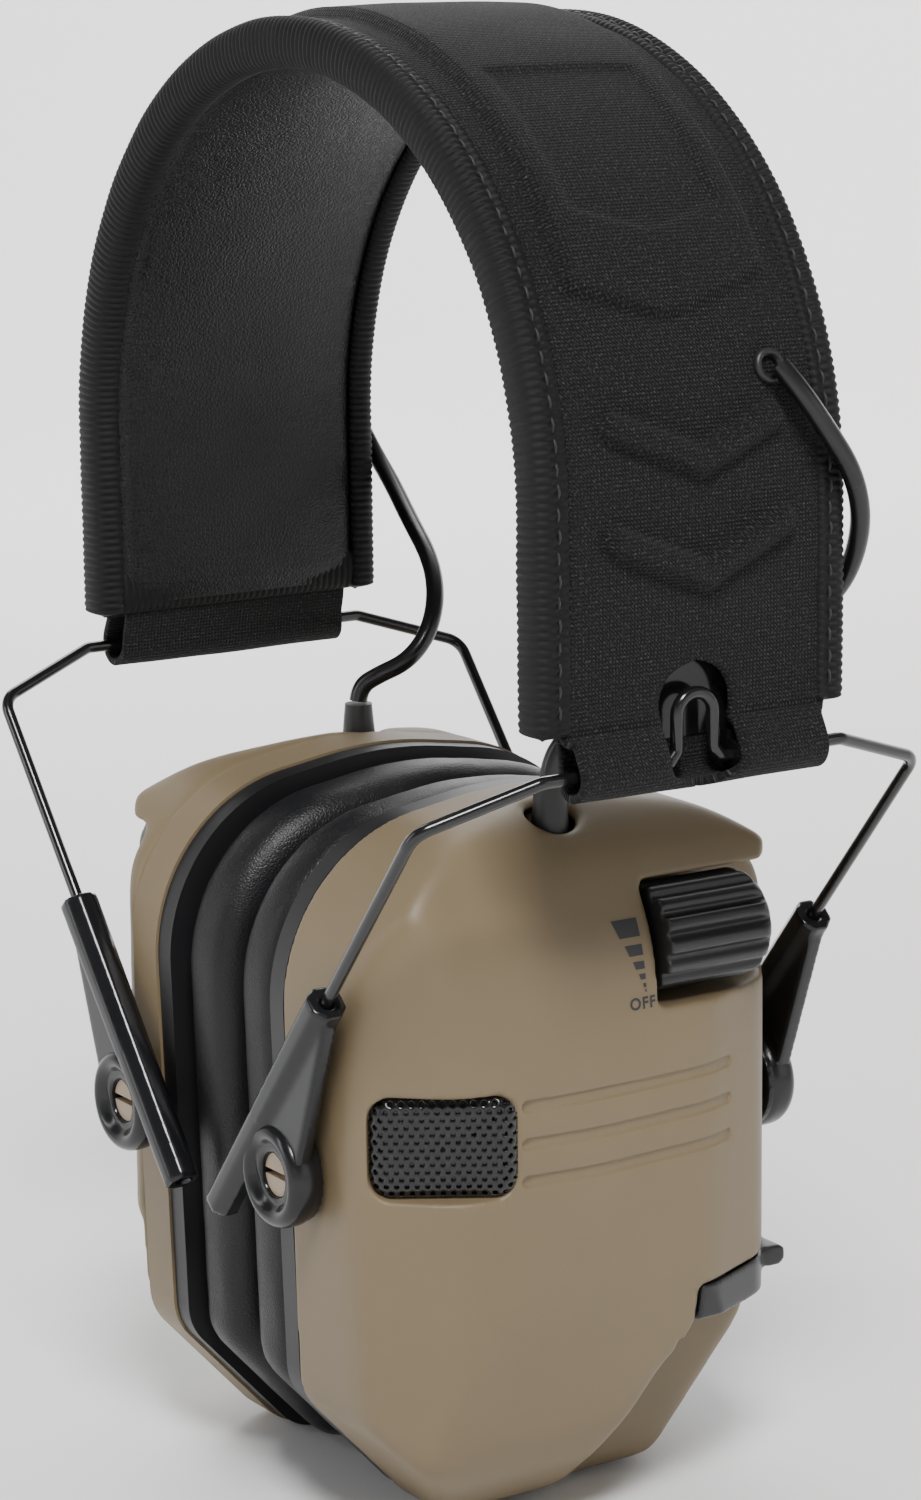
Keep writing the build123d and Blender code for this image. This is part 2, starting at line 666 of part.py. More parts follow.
plate_x = RIM_X - FIT_GAP - PLATE_THICKNESS
with BuildPart() as cushion_plate:
    add(shield_prism(0.4, plate_x, RIM_X - FIT_GAP))
    with BuildSketch(Plane.YZ.offset(plate_x - 1)):
        RectangleRounded(EAR_WIDTH + 6, EAR_HEIGHT + 6, EAR_WIDTH / 2)
    extrude(amount=PLATE_THICKNESS + 2, mode=Mode.SUBTRACT)
both_sides(cushion_plate.part, "cushion_plate")

with BuildPart() as ear_cushion:
    add(shield_prism(1.2, CUSHION_FACE_X, plate_x - FIT_GAP))
    fillet(ear_cushion.edges().group_by(Axis.X)[0], 5.0)
    with BuildSketch(Plane.YZ.offset(CUSHION_FACE_X - 1)):
        RectangleRounded(EAR_WIDTH, EAR_HEIGHT, EAR_WIDTH / 2 - 1)
    extrude(amount=plate_x - CUSHION_FACE_X + 2, mode=Mode.SUBTRACT)
both_sides(ear_cushion.part, "ear_cushion")

foam_front_x = BAFFLE_X - FIT_GAP - FOAM_THICKNESS
foam_block = shield_prism(0, foam_front_x, foam_front_x + FOAM_THICKNESS)
both_sides(foam_block & cup_core(2 * CUP_WALL + 2 * FIT_GAP, 0), "sound_foam")

# ---------------------------------------------------------------------------- electronics

with BuildPart() as speaker:
    with BuildSketch(Plane.YZ.offset(BAFFLE_X + FIT_GAP)):
        with Locations((SPEAKER_Y, SPEAKER_Z)):
            Circle(SPEAKER_RADIUS - 1.2)
    extrude(amount=BAFFLE_THICKNESS)
    with BuildSketch(Plane.YZ.offset(BAFFLE_X + BAFFLE_THICKNESS + FIT_GAP)):
        with Locations((SPEAKER_Y, SPEAKER_Z)):
            Circle(SPEAKER_RADIUS)
    extrude(amount=SPEAKER_DEPTH - BAFFLE_THICKNESS)
    with BuildSketch(Plane.YZ.offset(BAFFLE_X + FIT_GAP + SPEAKER_DEPTH)):
        with Locations((SPEAKER_Y, SPEAKER_Z)):
            Circle(SPEAKER_RADIUS / 2)
    extrude(amount=1.4)
both_sides(speaker.part, "speaker")

board_x = BAFFLE_X + SPEAKER_DEPTH + 2.2
with BuildPart() as circuit_board:
    with Locations((board_x, BOARD_Y, BOARD_Z)):
        Box(1.6, BOARD_WIDTH, BOARD_HEIGHT, align=(Align.MIN, Align.CENTER, Align.CENTER))
    with Locations((board_x + 1.6, BOARD_Y, BOARD_Z + 8), (board_x + 1.6, BOARD_Y - 4, BOARD_Z - 12)):
        Box(1.5, 7, 7, align=(Align.MIN, Align.CENTER, Align.CENTER))
both_sides(circuit_board.part, "circuit_board")

with BuildPart() as volume_control:
    with Locations((KNOB_X - 2.4, RECESS_START_Y - CUP_WALL - FIT_GAP, KNOB_Z - 1.0)):
        Box(6.4, 7.0, 6.4, align=(Align.CENTER, Align.MAX, Align.CENTER))
both_sides(volume_control.part, "volume_control")

grille_back = well_plane.offset(-WELL_DEPTH)
with BuildPart() as grille:
    with BuildSketch(grille_back):
        RectangleRounded(GRILLE_WIDTH - 0.3, GRILLE_HEIGHT - 0.3, 3.2)
    extrude(amount=GRILLE_THICKNESS)
    columns = int((GRILLE_WIDTH - 3.0) / MESH_COLUMN)
    rows = int((GRILLE_HEIGHT - 3.4) / MESH_ROW)
    with BuildSketch(grille_back):
        for column in range(columns):
            across = (column - (columns - 1) / 2) * MESH_COLUMN
            lift = (column % 2 - 0.5) * MESH_ROW / 2
            with Locations((across, lift)):
                with GridLocations(MESH_COLUMN, MESH_ROW, 1, rows):
                    Circle(MESH_HOLE / 2)
    extrude(amount=GRILLE_THICKNESS, mode=Mode.SUBTRACT)
both_sides(grille.part, "microphone_grille")

with BuildPart() as microphone:
    with BuildSketch(well_plane.offset(-WELL_DEPTH - CUP_WALL - 3.2)):
        Circle(MIC_RADIUS)
    extrude(amount=2.8)
both_sides(microphone.part, "microphone")

knob_plane = Plane(origin=(KNOB_X, KNOB_START_Y, KNOB_Z), x_dir=(1, 0, 0), z_dir=(0, 1, 0))
with BuildPart() as knob_envelope:
    with Locations(Plane.XZ * Location((KNOB_X, KNOB_Z, -KNOB_START_Y - KNOB_LENGTH / 2))):
        Cylinder(KNOB_RADIUS, KNOB_LENGTH)
    fillet(knob_envelope.edges().filter_by(GeomType.CIRCLE).group_by(Axis.Y)[-1], 2.4)

with BuildPart() as knob_ribs:
    with BuildSketch(knob_plane):
        Circle(KNOB_RADIUS - RIB_HEIGHT)
        with PolarLocations(KNOB_RADIUS - RIB_RADIUS + RIB_FLAT, KNOB_RIBS):
            Circle(RIB_RADIUS)
    extrude(amount=KNOB_LENGTH)

with BuildPart() as knob_shaft:
    with BuildSketch(knob_plane.offset(-KNOB_START_Y + RECESS_START_Y - CUP_WALL)):
        Circle(SHAFT_RADIUS)
    extrude(amount=CUP_WALL + KNOB_START_Y - RECESS_START_Y + 1)
both_sides((knob_ribs.part & knob_envelope.part) + knob_shaft.part, "volume_knob")

# ---------------------------------------------------------------------------- power

with BuildPart() as battery_cells:
    for x, y in cell_places:
        with BuildSketch(Plane.XY.offset(floor_z + FIT_GAP)):
            with Locations((x, y)):
                Circle(CELL_RADIUS)
        extrude(amount=CELL_LENGTH - 1.0)
        with BuildSketch(Plane.XY.offset(floor_z + FIT_GAP + CELL_LENGTH - 1.0)):
            with Locations((x, y)):
                Circle(CELL_RADIUS / 3)
        extrude(amount=1.0)
finish(battery_cells.part, "battery_cells")

contacts = cell_slot(-1.0, cell_top_z + FIT_GAP, cell_top_z + FIT_GAP + CONTACT_THICKNESS)
finish(contacts, "battery_contacts")

door_form = bare_core(0, LEDGE_X + FIT_GAP) - bare_core(DOOR_WALL, 0)
door_floor = bare_core(0, LEDGE_X + FIT_GAP)
with BuildPart() as door_space:
    with BuildSketch(Plane.YZ.offset(LEDGE_X + FIT_GAP)):
        with BuildLine():
            Polyline(
                (DOOR_EDGE_Y + FIT_GAP, BOX_BOTTOM_Z - FIT_GAP),
                (DOOR_EDGE_Y + FIT_GAP, BOX_BOTTOM_Z - DOOR_HEIGHT),
                (60, BOX_BOTTOM_Z - DOOR_HEIGHT),
                (60, BOX_BOTTOM_Z - FIT_GAP),
                close=True,
            )
        make_face()
    extrude(amount=40)
with BuildPart() as floor_space:
    with BuildSketch(Plane.YZ.offset(LEDGE_X + FIT_GAP)):
        with Locations((DOOR_HINGE_Y + FIT_GAP, BOX_BOTTOM_Z - DOOR_HEIGHT)):
            Rectangle(SKIN_X, DOOR_WALL, align=(Align.MIN, Align.MIN))
    extrude(amount=SKIN_X - LEDGE_X - 2 * FIT_GAP)
with BuildPart() as front_space:
    with BuildSketch(Plane.YZ.offset(SKIN_X - 3 * FIT_GAP)):
        with Locations((DOOR_EDGE_Y + FIT_GAP, BOX_BOTTOM_Z - DOOR_HEIGHT)):
            Rectangle(SKIN_X, DOOR_WALL, align=(Align.MIN, Align.MIN))
    extrude(amount=20)
with BuildPart() as door_tab:
    with Locations((TAB_X, TAB_Y, BOX_BOTTOM_Z - FIT_GAP)):
        Box(6.0, 4.0, 3.0, align=(Align.CENTER, Align.CENTER, Align.MAX))
    fillet(door_tab.edges().filter_by(Axis.X), 1.2)
door = (door_form & door_space.part) + (door_floor & (floor_space.part + front_space.part))
door = door + (door_tab.part - bare_core(DOOR_WALL / 2, 0))
finish(door, "battery_door")

# ---------------------------------------------------------------------------- fasteners

with BuildPart() as pivot_pins:
    with Locations(Plane.XZ * Location((RING_X, 0, 0))):
        Cylinder(PIN_RADIUS, 2 * PIN_END_Y)
        Cylinder(PIN_RADIUS + 1, 2 * PIN_START_Y, mode=Mode.SUBTRACT)
    for side in (-1, 1):
        with Locations((RING_X, side * PIN_END_Y, 0)):
            Box(4 * PIN_RADIUS, 3.0, PIN_SLOT, mode=Mode.SUBTRACT)
both_sides(pivot_pins.part, "pivot_pins")

with BuildPart() as baffle_screws:
    for y, z in SCREW_PLACES:
        with BuildSketch(Plane.YZ.offset(BAFFLE_X + BAFFLE_THICKNESS + FIT_GAP)):
            with Locations((y, z)):
                Circle(2.2)
        extrude(amount=1.6)
both_sides(baffle_screws.part, "baffle_screws")

# ---------------------------------------------------------------------------- signal cable


def tube(points, radius, name):
    """Sweep a round cable along straight runs joined by arcs as large as the runs allow."""
    vectors = [Vector(*p) for p in points]
    radii = []
    for before, corner, after in zip(vectors, vectors[1:], vectors[2:]):
        shorter = min((corner - before).length, (after - corner).length)
        turn = radians((corner - before).get_angle(after - corner))
        radii.append(0.45 * shorter / tan(turn / 2))
    print(name, "arc radii", [round(r, 1) for r in radii])
    with BuildPart() as cable:
        with BuildLine():
            route = FilletPolyline(*points, radius=radii)
        with BuildSketch(Plane(origin=route @ 0, z_dir=route % 0)):
            Circle(radius)
        sweep()
    length = sum(edge.length for edge in route.edges())
    over_section = cable.part.volume / (pi * radius**2)
    print(name, "length", round(length, 1), "volume over section", round(over_section, 1))
    return cable.part


for side, direction in (("right", 1), ("left", -1)):
    with BuildPart() as grommet:
        with BuildSketch(grommet_plane(direction, -COVER_THICKNESS)):
            Circle(GLAND_RADIUS)
        extrude(amount=COVER_THICKNESS + GROMMET_PROUD)
    finish(grommet.part, f"cable_grommet_{side}")

for side, turn in SIDES.items():
    with BuildPart() as gland:
        with BuildSketch(Plane.XY.offset(GLAND_BASE_Z + FIT_GAP)):
            with Locations(GLANDS[side]):
                Circle(GLAND_RADIUS)
        with BuildSketch(Plane.XY.offset(GLAND_TOP_Z)):
            with Locations(GLANDS[side]):
                Circle(GLAND_RADIUS - 0.9)
        loft()
    finish(gland.part.rotate(Axis.Z, turn), f"cable_gland_{side}")

finish(tube(RIGHT_CABLE, CABLE_RADIUS, "right cable"), "cup_cable_right")
finish(tube(LEFT_CABLE, CABLE_RADIUS, "left cable"), "cup_cable_left")
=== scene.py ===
"""Earmuff hearing protector: fabric headband, padded cups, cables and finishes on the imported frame."""

import json
import logging
from dataclasses import dataclass, field
from enum import Enum

import bmesh
import bpy
import numpy as np
from mathutils import Matrix, Vector

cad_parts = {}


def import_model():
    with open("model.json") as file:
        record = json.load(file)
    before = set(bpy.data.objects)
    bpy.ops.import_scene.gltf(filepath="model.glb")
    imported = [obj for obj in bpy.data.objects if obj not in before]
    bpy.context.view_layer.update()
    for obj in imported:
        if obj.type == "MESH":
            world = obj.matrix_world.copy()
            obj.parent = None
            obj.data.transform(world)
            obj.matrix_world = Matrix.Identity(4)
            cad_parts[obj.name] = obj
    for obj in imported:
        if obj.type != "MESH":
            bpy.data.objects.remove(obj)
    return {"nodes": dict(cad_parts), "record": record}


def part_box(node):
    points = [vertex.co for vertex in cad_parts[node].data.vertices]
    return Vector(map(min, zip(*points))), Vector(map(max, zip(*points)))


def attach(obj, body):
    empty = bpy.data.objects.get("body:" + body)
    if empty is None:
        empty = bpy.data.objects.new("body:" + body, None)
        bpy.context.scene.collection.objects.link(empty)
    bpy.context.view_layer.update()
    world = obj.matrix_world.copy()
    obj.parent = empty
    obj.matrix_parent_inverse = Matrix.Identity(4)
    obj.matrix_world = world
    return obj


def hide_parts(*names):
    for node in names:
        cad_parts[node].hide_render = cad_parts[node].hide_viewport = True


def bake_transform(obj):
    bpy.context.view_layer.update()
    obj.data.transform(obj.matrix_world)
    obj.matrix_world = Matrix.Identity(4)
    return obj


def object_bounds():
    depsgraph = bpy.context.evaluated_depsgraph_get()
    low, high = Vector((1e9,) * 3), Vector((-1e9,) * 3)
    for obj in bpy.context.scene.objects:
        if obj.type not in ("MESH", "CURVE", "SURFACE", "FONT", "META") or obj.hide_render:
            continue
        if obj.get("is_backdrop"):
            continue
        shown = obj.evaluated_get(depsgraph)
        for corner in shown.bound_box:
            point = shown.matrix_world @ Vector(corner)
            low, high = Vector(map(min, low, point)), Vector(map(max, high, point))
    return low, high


log = logging.getLogger("earmuffs")
MM = 0.001


class Side(Enum):
    """The two halves of the object; the value is the sign of their X."""

    RIGHT = 1
    LEFT = -1

    @property
    def word(self) -> str:
        """The side's name as the frame's nodes and bodies spell it."""
        return self.name.lower()


class Pattern(Enum):
    """What a finish draws in its height and colour."""

    MOULDED = "moulded"
    KNIT = "knit"
    LEATHER = "leather"
    TAPE = "tape"
    FOAM = "foam"


# ---------------------------------------------------------------- numpy shapes


def mesh_object(
    name: str, points: np.ndarray, faces: np.ndarray, uv: np.ndarray | None = None
) -> bpy.types.Object:
    """Makes an object at the origin from points in millimetres and quads.

    Args:
        name: the piece's name.
        points: (n, 3) points in the row frame, in millimetres.
        faces: (m, 4) corner indices.
        uv: (n, 2) values carried by the points, or None.

    Returns:
        The linked object, smooth shaded.
    """
    mesh = bpy.data.meshes.new(name)
    mesh.from_pydata((points * MM).tolist(), [], faces.tolist())
    mesh.polygons.foreach_set("use_smooth", np.ones(len(mesh.polygons), bool))
    if uv is not None:
        corners = np.empty(len(mesh.loops), np.int32)
        mesh.loops.foreach_get("vertex_index", corners)
        mesh.uv_layers.new(name="surface").data.foreach_set("uv", uv[corners].ravel().astype(np.float32))
    mesh.update()
    piece = bpy.data.objects.new(name, mesh)
    bpy.context.scene.collection.objects.link(piece)
    return piece


def grid_faces(rows: int, columns: int, wrap_rows: bool = False, wrap_columns: bool = False) -> np.ndarray:
    """Quads of a grid of rows by columns points, as indices row * columns + column.

    Args:
        rows: the number of rows.
        columns: the number of points in a row.
        wrap_rows: join the last row to the first.
        wrap_columns: join each row's end to its start.

    Returns:
        (m, 4) corner indices.
    """
    row = np.arange(rows if wrap_rows else rows - 1)[:, None]
    column = np.arange(columns if wrap_columns else columns - 1)[None, :]
    below, right = (row + 1) % rows, (column + 1) % columns
    corners = (row * columns + column, below * columns + column, below * columns + right, row * columns + right)
    return np.stack([np.broadcast_to(c, np.broadcast(row, column).shape) for c in corners], -1).reshape(-1, 4)


def resample(line: np.ndarray, count: int, closed: bool = False) -> np.ndarray:
    """Points evenly spaced along a polyline: its coordinates interpolated over its arc length."""
    if closed:
        line = np.vstack([line, line[:1]])
    reach = np.concatenate([[0.0], np.cumsum(np.linalg.norm(np.diff(line, axis=0), axis=1))])
    places = np.linspace(0, reach[-1], count, endpoint=not closed)
    return np.stack([np.interp(places, reach, line[:, axis]) for axis in range(line.shape[1])], -1)


def soften(line: np.ndarray, width: int) -> np.ndarray:
    """A polyline with rounded corners: a moving average over width points, its ends carried on straight."""
    half = width // 2
    head = line[0] + (line[0] - line[1]) * np.arange(half, 0, -1)[:, None]
    tail = line[-1] + (line[-1] - line[-2]) * np.arange(1, half + 1)[:, None]
    padded = np.vstack([head, line, tail])
    kernel = np.hanning(2 * half + 3)[1:-1]
    kernel = kernel / kernel.sum()
    return np.stack([np.convolve(padded[:, axis], kernel, mode="valid") for axis in range(line.shape[1])], -1)


def rounded_outline(corners: list[tuple[float, float, float]], count: int) -> np.ndarray:
    """A closed outline whose corners are arcs, each tangent to its sides at radius / tan(half angle).

    Args:
        corners: (y, z, radius) of each corner, in order.
        count: how many points to return.

    Returns:
        (count, 2) evenly spaced points.
    """
    places = np.array([corner[:2] for corner in corners], float)
    line = []
    for index, here in enumerate(places):
        radius = corners[index][2]
        before = places[index - 1] - here
        after = places[(index + 1) % len(corners)] - here
        before, after = before / np.linalg.norm(before), after / np.linalg.norm(after)
        half = np.arccos(np.clip(before @ after, -1, 1)) / 2
        middle = (before + after) / np.linalg.norm(before + after)
        centre = here + middle * radius / np.sin(half)
        first = here + before * radius / np.tan(half) - centre
        last = here + after * radius / np.tan(half) - centre
        share = np.linspace(0, 1, 17)[:, None]
        sweep = np.pi - 2 * half
        arc = (np.sin((1 - share) * sweep) * first + np.sin(share * sweep) * last) / np.sin(sweep)
        line.append(centre + arc)
    return resample(np.vstack(line), count, closed=True)


def four_corners(half_width: float, half_height: float, radius: float) -> list[tuple[float, float, float]]:
    """A rectangle's corners with one radius, in the form that rounded_outline takes."""
    return [
        (half_width, half_height, radius),
        (half_width, -half_height, radius),
        (-half_width, -half_height, radius),
        (-half_width, half_height, radius),
    ]


def line_distance(
    across: np.ndarray, along: np.ndarray, bends: tuple[tuple[float, float], ...]
) -> np.ndarray:
    """Distance of each point to a bent line: the least of its distances to the straight pieces."""
    spot = np.stack([across, along], -1)
    nearest = np.full(across.shape, 1e9)
    for first, last in zip(bends[:-1], bends[1:]):
        start, run = np.array(first), np.array(last) - np.array(first)
        share = np.clip(((spot - start) @ run) / (run @ run), 0, 1)
        nearest = np.minimum(nearest, np.linalg.norm(spot - start - share[..., None] * run, axis=-1))
    return nearest


def smooth_step(value: np.ndarray, low: float, high: float) -> np.ndarray:
    """0 below low, 1 above high, and an S curve between: 3t^2 - 2t^3."""
    share = np.clip((value - low) / (high - low), 0, 1)
    return share * share * (3 - 2 * share)


def ripple(first: np.ndarray, second: np.ndarray, seed: int, count: int, coarse: float) -> np.ndarray:
    """A gentle unevenness: the sum of count sine waves of random direction, with lengths round coarse."""
    chance = np.random.default_rng(seed)
    turns = chance.uniform(0, 2 * np.pi, (count, 2))
    pitch = chance.uniform(0.6, 1.6, count) * 2 * np.pi / coarse
    total = np.zeros(np.broadcast(first, second).shape)
    for (turn, phase), rate in zip(turns, pitch):
        total = total + np.sin(rate * (first * np.cos(turn) + second * np.sin(turn)) + phase)
    return total / count


def freeze(piece: bpy.types.Object) -> bpy.types.Object:
    """Applies a piece's modifiers to its mesh, as the evaluated copy gives it."""
    bpy.context.view_layer.update()
    shape = piece.evaluated_get(bpy.context.evaluated_depsgraph_get())
    graph = bpy.context.evaluated_depsgraph_get()
    final = bpy.data.meshes.new_from_object(shape, preserve_all_data_layers=True, depsgraph=graph)
    piece.modifiers.clear()
    old, piece.data = piece.data, final
    bpy.data.meshes.remove(old)
    final.name = piece.name
    return piece


# ---------------------------------------------------------------- finishes


class Graph:
    """A node tree with short calls that add a node and join sockets."""

    def __init__(self, tree: bpy.types.NodeTree) -> None:
        """Keeps the tree that the nodes go into."""
        self.tree = tree

    def add(self, kind: str, **values: object) -> bpy.types.Node:
        """Adds a node; capitalised values set input sockets, with _ for a space, and others set properties."""
        node = self.tree.nodes.new(kind)
        for name, value in values.items():
            if name[0].isupper():
                node.inputs[name.replace("_", " ")].default_value = value
            else:
                setattr(node, name, value)
        return node

    def join(self, source: bpy.types.NodeSocket, target: bpy.types.NodeSocket) -> None:
        """Joins an output socket to an input socket."""
        self.tree.links.new(source, target)

    def maths(
        self, operation: str, first: object, second: object = None, third: object = None
    ) -> bpy.types.NodeSocket:
        """Adds a Math node on sockets or numbers and returns its output."""
        node = self.tree.nodes.new("ShaderNodeMath")
        node.operation = operation
        for index, value in enumerate((first, second, third)):
            if isinstance(value, bpy.types.NodeSocket):
                self.join(value, node.inputs[index])
            elif value is not None:
                node.inputs[index].default_value = value
        return node.outputs[0]


def new_group(
    name: str, inputs: dict[str, tuple[str, object]], outputs: dict[str, str]
) -> tuple[bpy.types.NodeTree, Graph]:
    """Makes an empty shader node group.

    Args:
        name: the group's name.
        inputs: socket name to (socket type, default value).
        outputs: socket name to socket type.

    Returns:
        The group and a Graph to fill it with.
    """
    group = bpy.data.node_groups.new(name, "ShaderNodeTree")
    for label, (kind, value) in inputs.items():
        socket = group.interface.new_socket(name=label, in_out="INPUT", socket_type=kind)
        if value is not None:
            socket.default_value = value
    for label, kind in outputs.items():
        group.interface.new_socket(name=label, in_out="OUTPUT", socket_type=kind)
    return group, Graph(group)


class SharedEffects:
    """The effects that several finishes use, each a node group built once."""

    def __init__(self) -> None:
        """Builds the groups."""
        self.grain = self._grain()
        self.knit = self._knit()
        self.pebble = self._pebble()
        self.drift = self._drift()
        self.thread = self._thread()

    def _grain(self) -> bpy.types.NodeTree:
        """Fine moulded grain: two noises, one per grain and one for the tool's slow waviness."""
        group, graph = new_group(
            "Moulded grain",
            {"Vector": ("NodeSocketVector", None), "Scale": ("NodeSocketFloat", 3000.0)},
            {"Height": "NodeSocketFloat", "Mask": "NodeSocketFloat"},
        )
        start, end = graph.add("NodeGroupInput"), graph.add("NodeGroupOutput")
        fine = graph.add("ShaderNodeTexNoise", Detail=2.0, Roughness=0.6)
        broad = graph.add("ShaderNodeTexNoise", Scale=70.0, Detail=3.0)
        graph.join(start.outputs["Vector"], fine.inputs["Vector"])
        graph.join(start.outputs["Scale"], fine.inputs["Scale"])
        graph.join(start.outputs["Vector"], broad.inputs["Vector"])
        graph.join(graph.maths("MULTIPLY_ADD", broad.outputs[0], 0.6, fine.outputs[0]), end.inputs["Height"])
        graph.join(broad.outputs[0], end.inputs["Mask"])
        return group

    def _knit(self) -> bpy.types.NodeTree:
        """Jersey knit on a map in millimetres: slanted loops in columns; its mask is the stray pale fibres plus
        the loops' height, which paints shade into the hollows between loops and light onto their crests.
        """
        group, graph = new_group(
            "Knit loops",
            {"Vector": ("NodeSocketVector", None), "Pitch": ("NodeSocketFloat", 0.55)},
            {"Height": "NodeSocketFloat", "Mask": "NodeSocketFloat"},
        )
        start, end = graph.add("NodeGroupInput"), graph.add("NodeGroupOutput")
        apart = graph.add("ShaderNodeSeparateXYZ")
        graph.join(start.outputs["Vector"], apart.inputs[0])
        rate = graph.maths("DIVIDE", 6.2832, start.outputs["Pitch"])
        along = graph.maths("MULTIPLY", apart.outputs[0], rate)
        across = graph.maths("MULTIPLY", apart.outputs[1], rate)
        lean = graph.maths("ABSOLUTE", graph.maths("SINE", graph.maths("MULTIPLY", across, 0.5)))
        loops = graph.maths("SINE", graph.maths("MULTIPLY_ADD", lean, 2.4, along))
        columns = graph.maths("POWER", lean, 0.5)
        height = graph.maths("MULTIPLY", graph.maths("MULTIPLY_ADD", loops, 0.5, 0.5), columns)
        stray = graph.add("ShaderNodeTexNoise", Scale=2.6, Detail=2.0, Roughness=0.7)
        graph.join(start.outputs["Vector"], stray.inputs["Vector"])
        speck = graph.add("ShaderNodeMapRange", From_Min=0.5, From_Max=0.78)
        graph.join(stray.outputs[0], speck.inputs[0])
        graph.join(graph.maths("MULTIPLY_ADD", stray.outputs[0], 0.8, height), end.inputs["Height"])
        # Mask: 0.35 of the loop height plus the pale fibres. The loop-height part is painted shade: darker
        # colour in the hollows between loops and lighter colour on the crests.
        graph.join(graph.maths("MULTIPLY_ADD", height, 0.35, speck.outputs[0]), end.inputs["Mask"])
        return group

    def _pebble(self) -> bpy.types.NodeTree:
        """Leatherette: rounded cells between fine creases, over soft slow wrinkles."""
        group, graph = new_group(
            "Leather pebble",
            {"Vector": ("NodeSocketVector", None), "Scale": ("NodeSocketFloat", 1500.0)},
            {"Height": "NodeSocketFloat", "Mask": "NodeSocketFloat"},
        )
        start, end = graph.add("NodeGroupInput"), graph.add("NodeGroupOutput")
        cells = graph.add("ShaderNodeTexVoronoi", feature="DISTANCE_TO_EDGE")
        broad = graph.add("ShaderNodeTexNoise", Scale=110.0, Detail=4.0, Distortion=0.6)
        for node in (cells, broad):
            graph.join(start.outputs["Vector"], node.inputs["Vector"])
        graph.join(start.outputs["Scale"], cells.inputs["Scale"])
        rounded = graph.add("ShaderNodeMapRange", interpolation_type="SMOOTHSTEP", From_Max=0.28)
        graph.join(cells.outputs["Distance"], rounded.inputs[0])
        graph.join(graph.maths("MULTIPLY_ADD", broad.outputs[0], 1.4, rounded.outputs[0]), end.inputs["Height"])
        graph.join(broad.outputs[0], end.inputs["Mask"])
        return group

    def _drift(self) -> bpy.types.NodeTree:
        """Colour that drifts slowly between a darker and a lighter shade of itself, by a mask."""
        group, graph = new_group(
            "Colour drift",
            {
                "Color": ("NodeSocketColor", (0.5, 0.5, 0.5, 1)),
                "Mask": ("NodeSocketFloat", 0.5),
                "Amount": ("NodeSocketFloat", 0.2),
            },
            {"Color": "NodeSocketColor"},
        )
        start, end = graph.add("NodeGroupInput"), graph.add("NodeGroupOutput")
        middle = graph.maths("SUBTRACT", start.outputs["Mask"], 0.5)
        swing = graph.maths("MULTIPLY", middle, start.outputs["Amount"])
        level = graph.maths("MULTIPLY_ADD", swing, 2.0, 1.0)
        shade = graph.add("ShaderNodeVectorMath", operation="SCALE")
        graph.join(start.outputs["Color"], shade.inputs[0])
        graph.join(level, shade.inputs["Scale"])
        graph.join(shade.outputs[0], end.inputs["Color"])
        return group

    def _thread(self) -> bpy.types.NodeTree:
        """Twisted thread on a map in millimetres: fine slanted strands."""
        group, graph = new_group(
            "Twisted thread",
            {"Vector": ("NodeSocketVector", None), "Pitch": ("NodeSocketFloat", 0.22)},
            {"Height": "NodeSocketFloat", "Mask": "NodeSocketFloat"},
        )
        start, end = graph.add("NodeGroupInput"), graph.add("NodeGroupOutput")
        apart = graph.add("ShaderNodeSeparateXYZ")
        graph.join(start.outputs["Vector"], apart.inputs[0])
        rate = graph.maths("DIVIDE", 6.2832, start.outputs["Pitch"])
        lean = graph.maths("MULTIPLY_ADD", apart.outputs[0], 0.55, apart.outputs[1])
        wave = graph.maths("SINE", graph.maths("MULTIPLY", lean, rate))
        strands = graph.maths("MULTIPLY_ADD", wave, 0.5, 0.5)
        stray = graph.add("ShaderNodeTexNoise", Scale=1.6, Detail=3.0)
        graph.join(start.outputs["Vector"], stray.inputs["Vector"])
        graph.join(strands, end.inputs["Height"])
        graph.join(stray.outputs[0], end.inputs["Mask"])
        return group


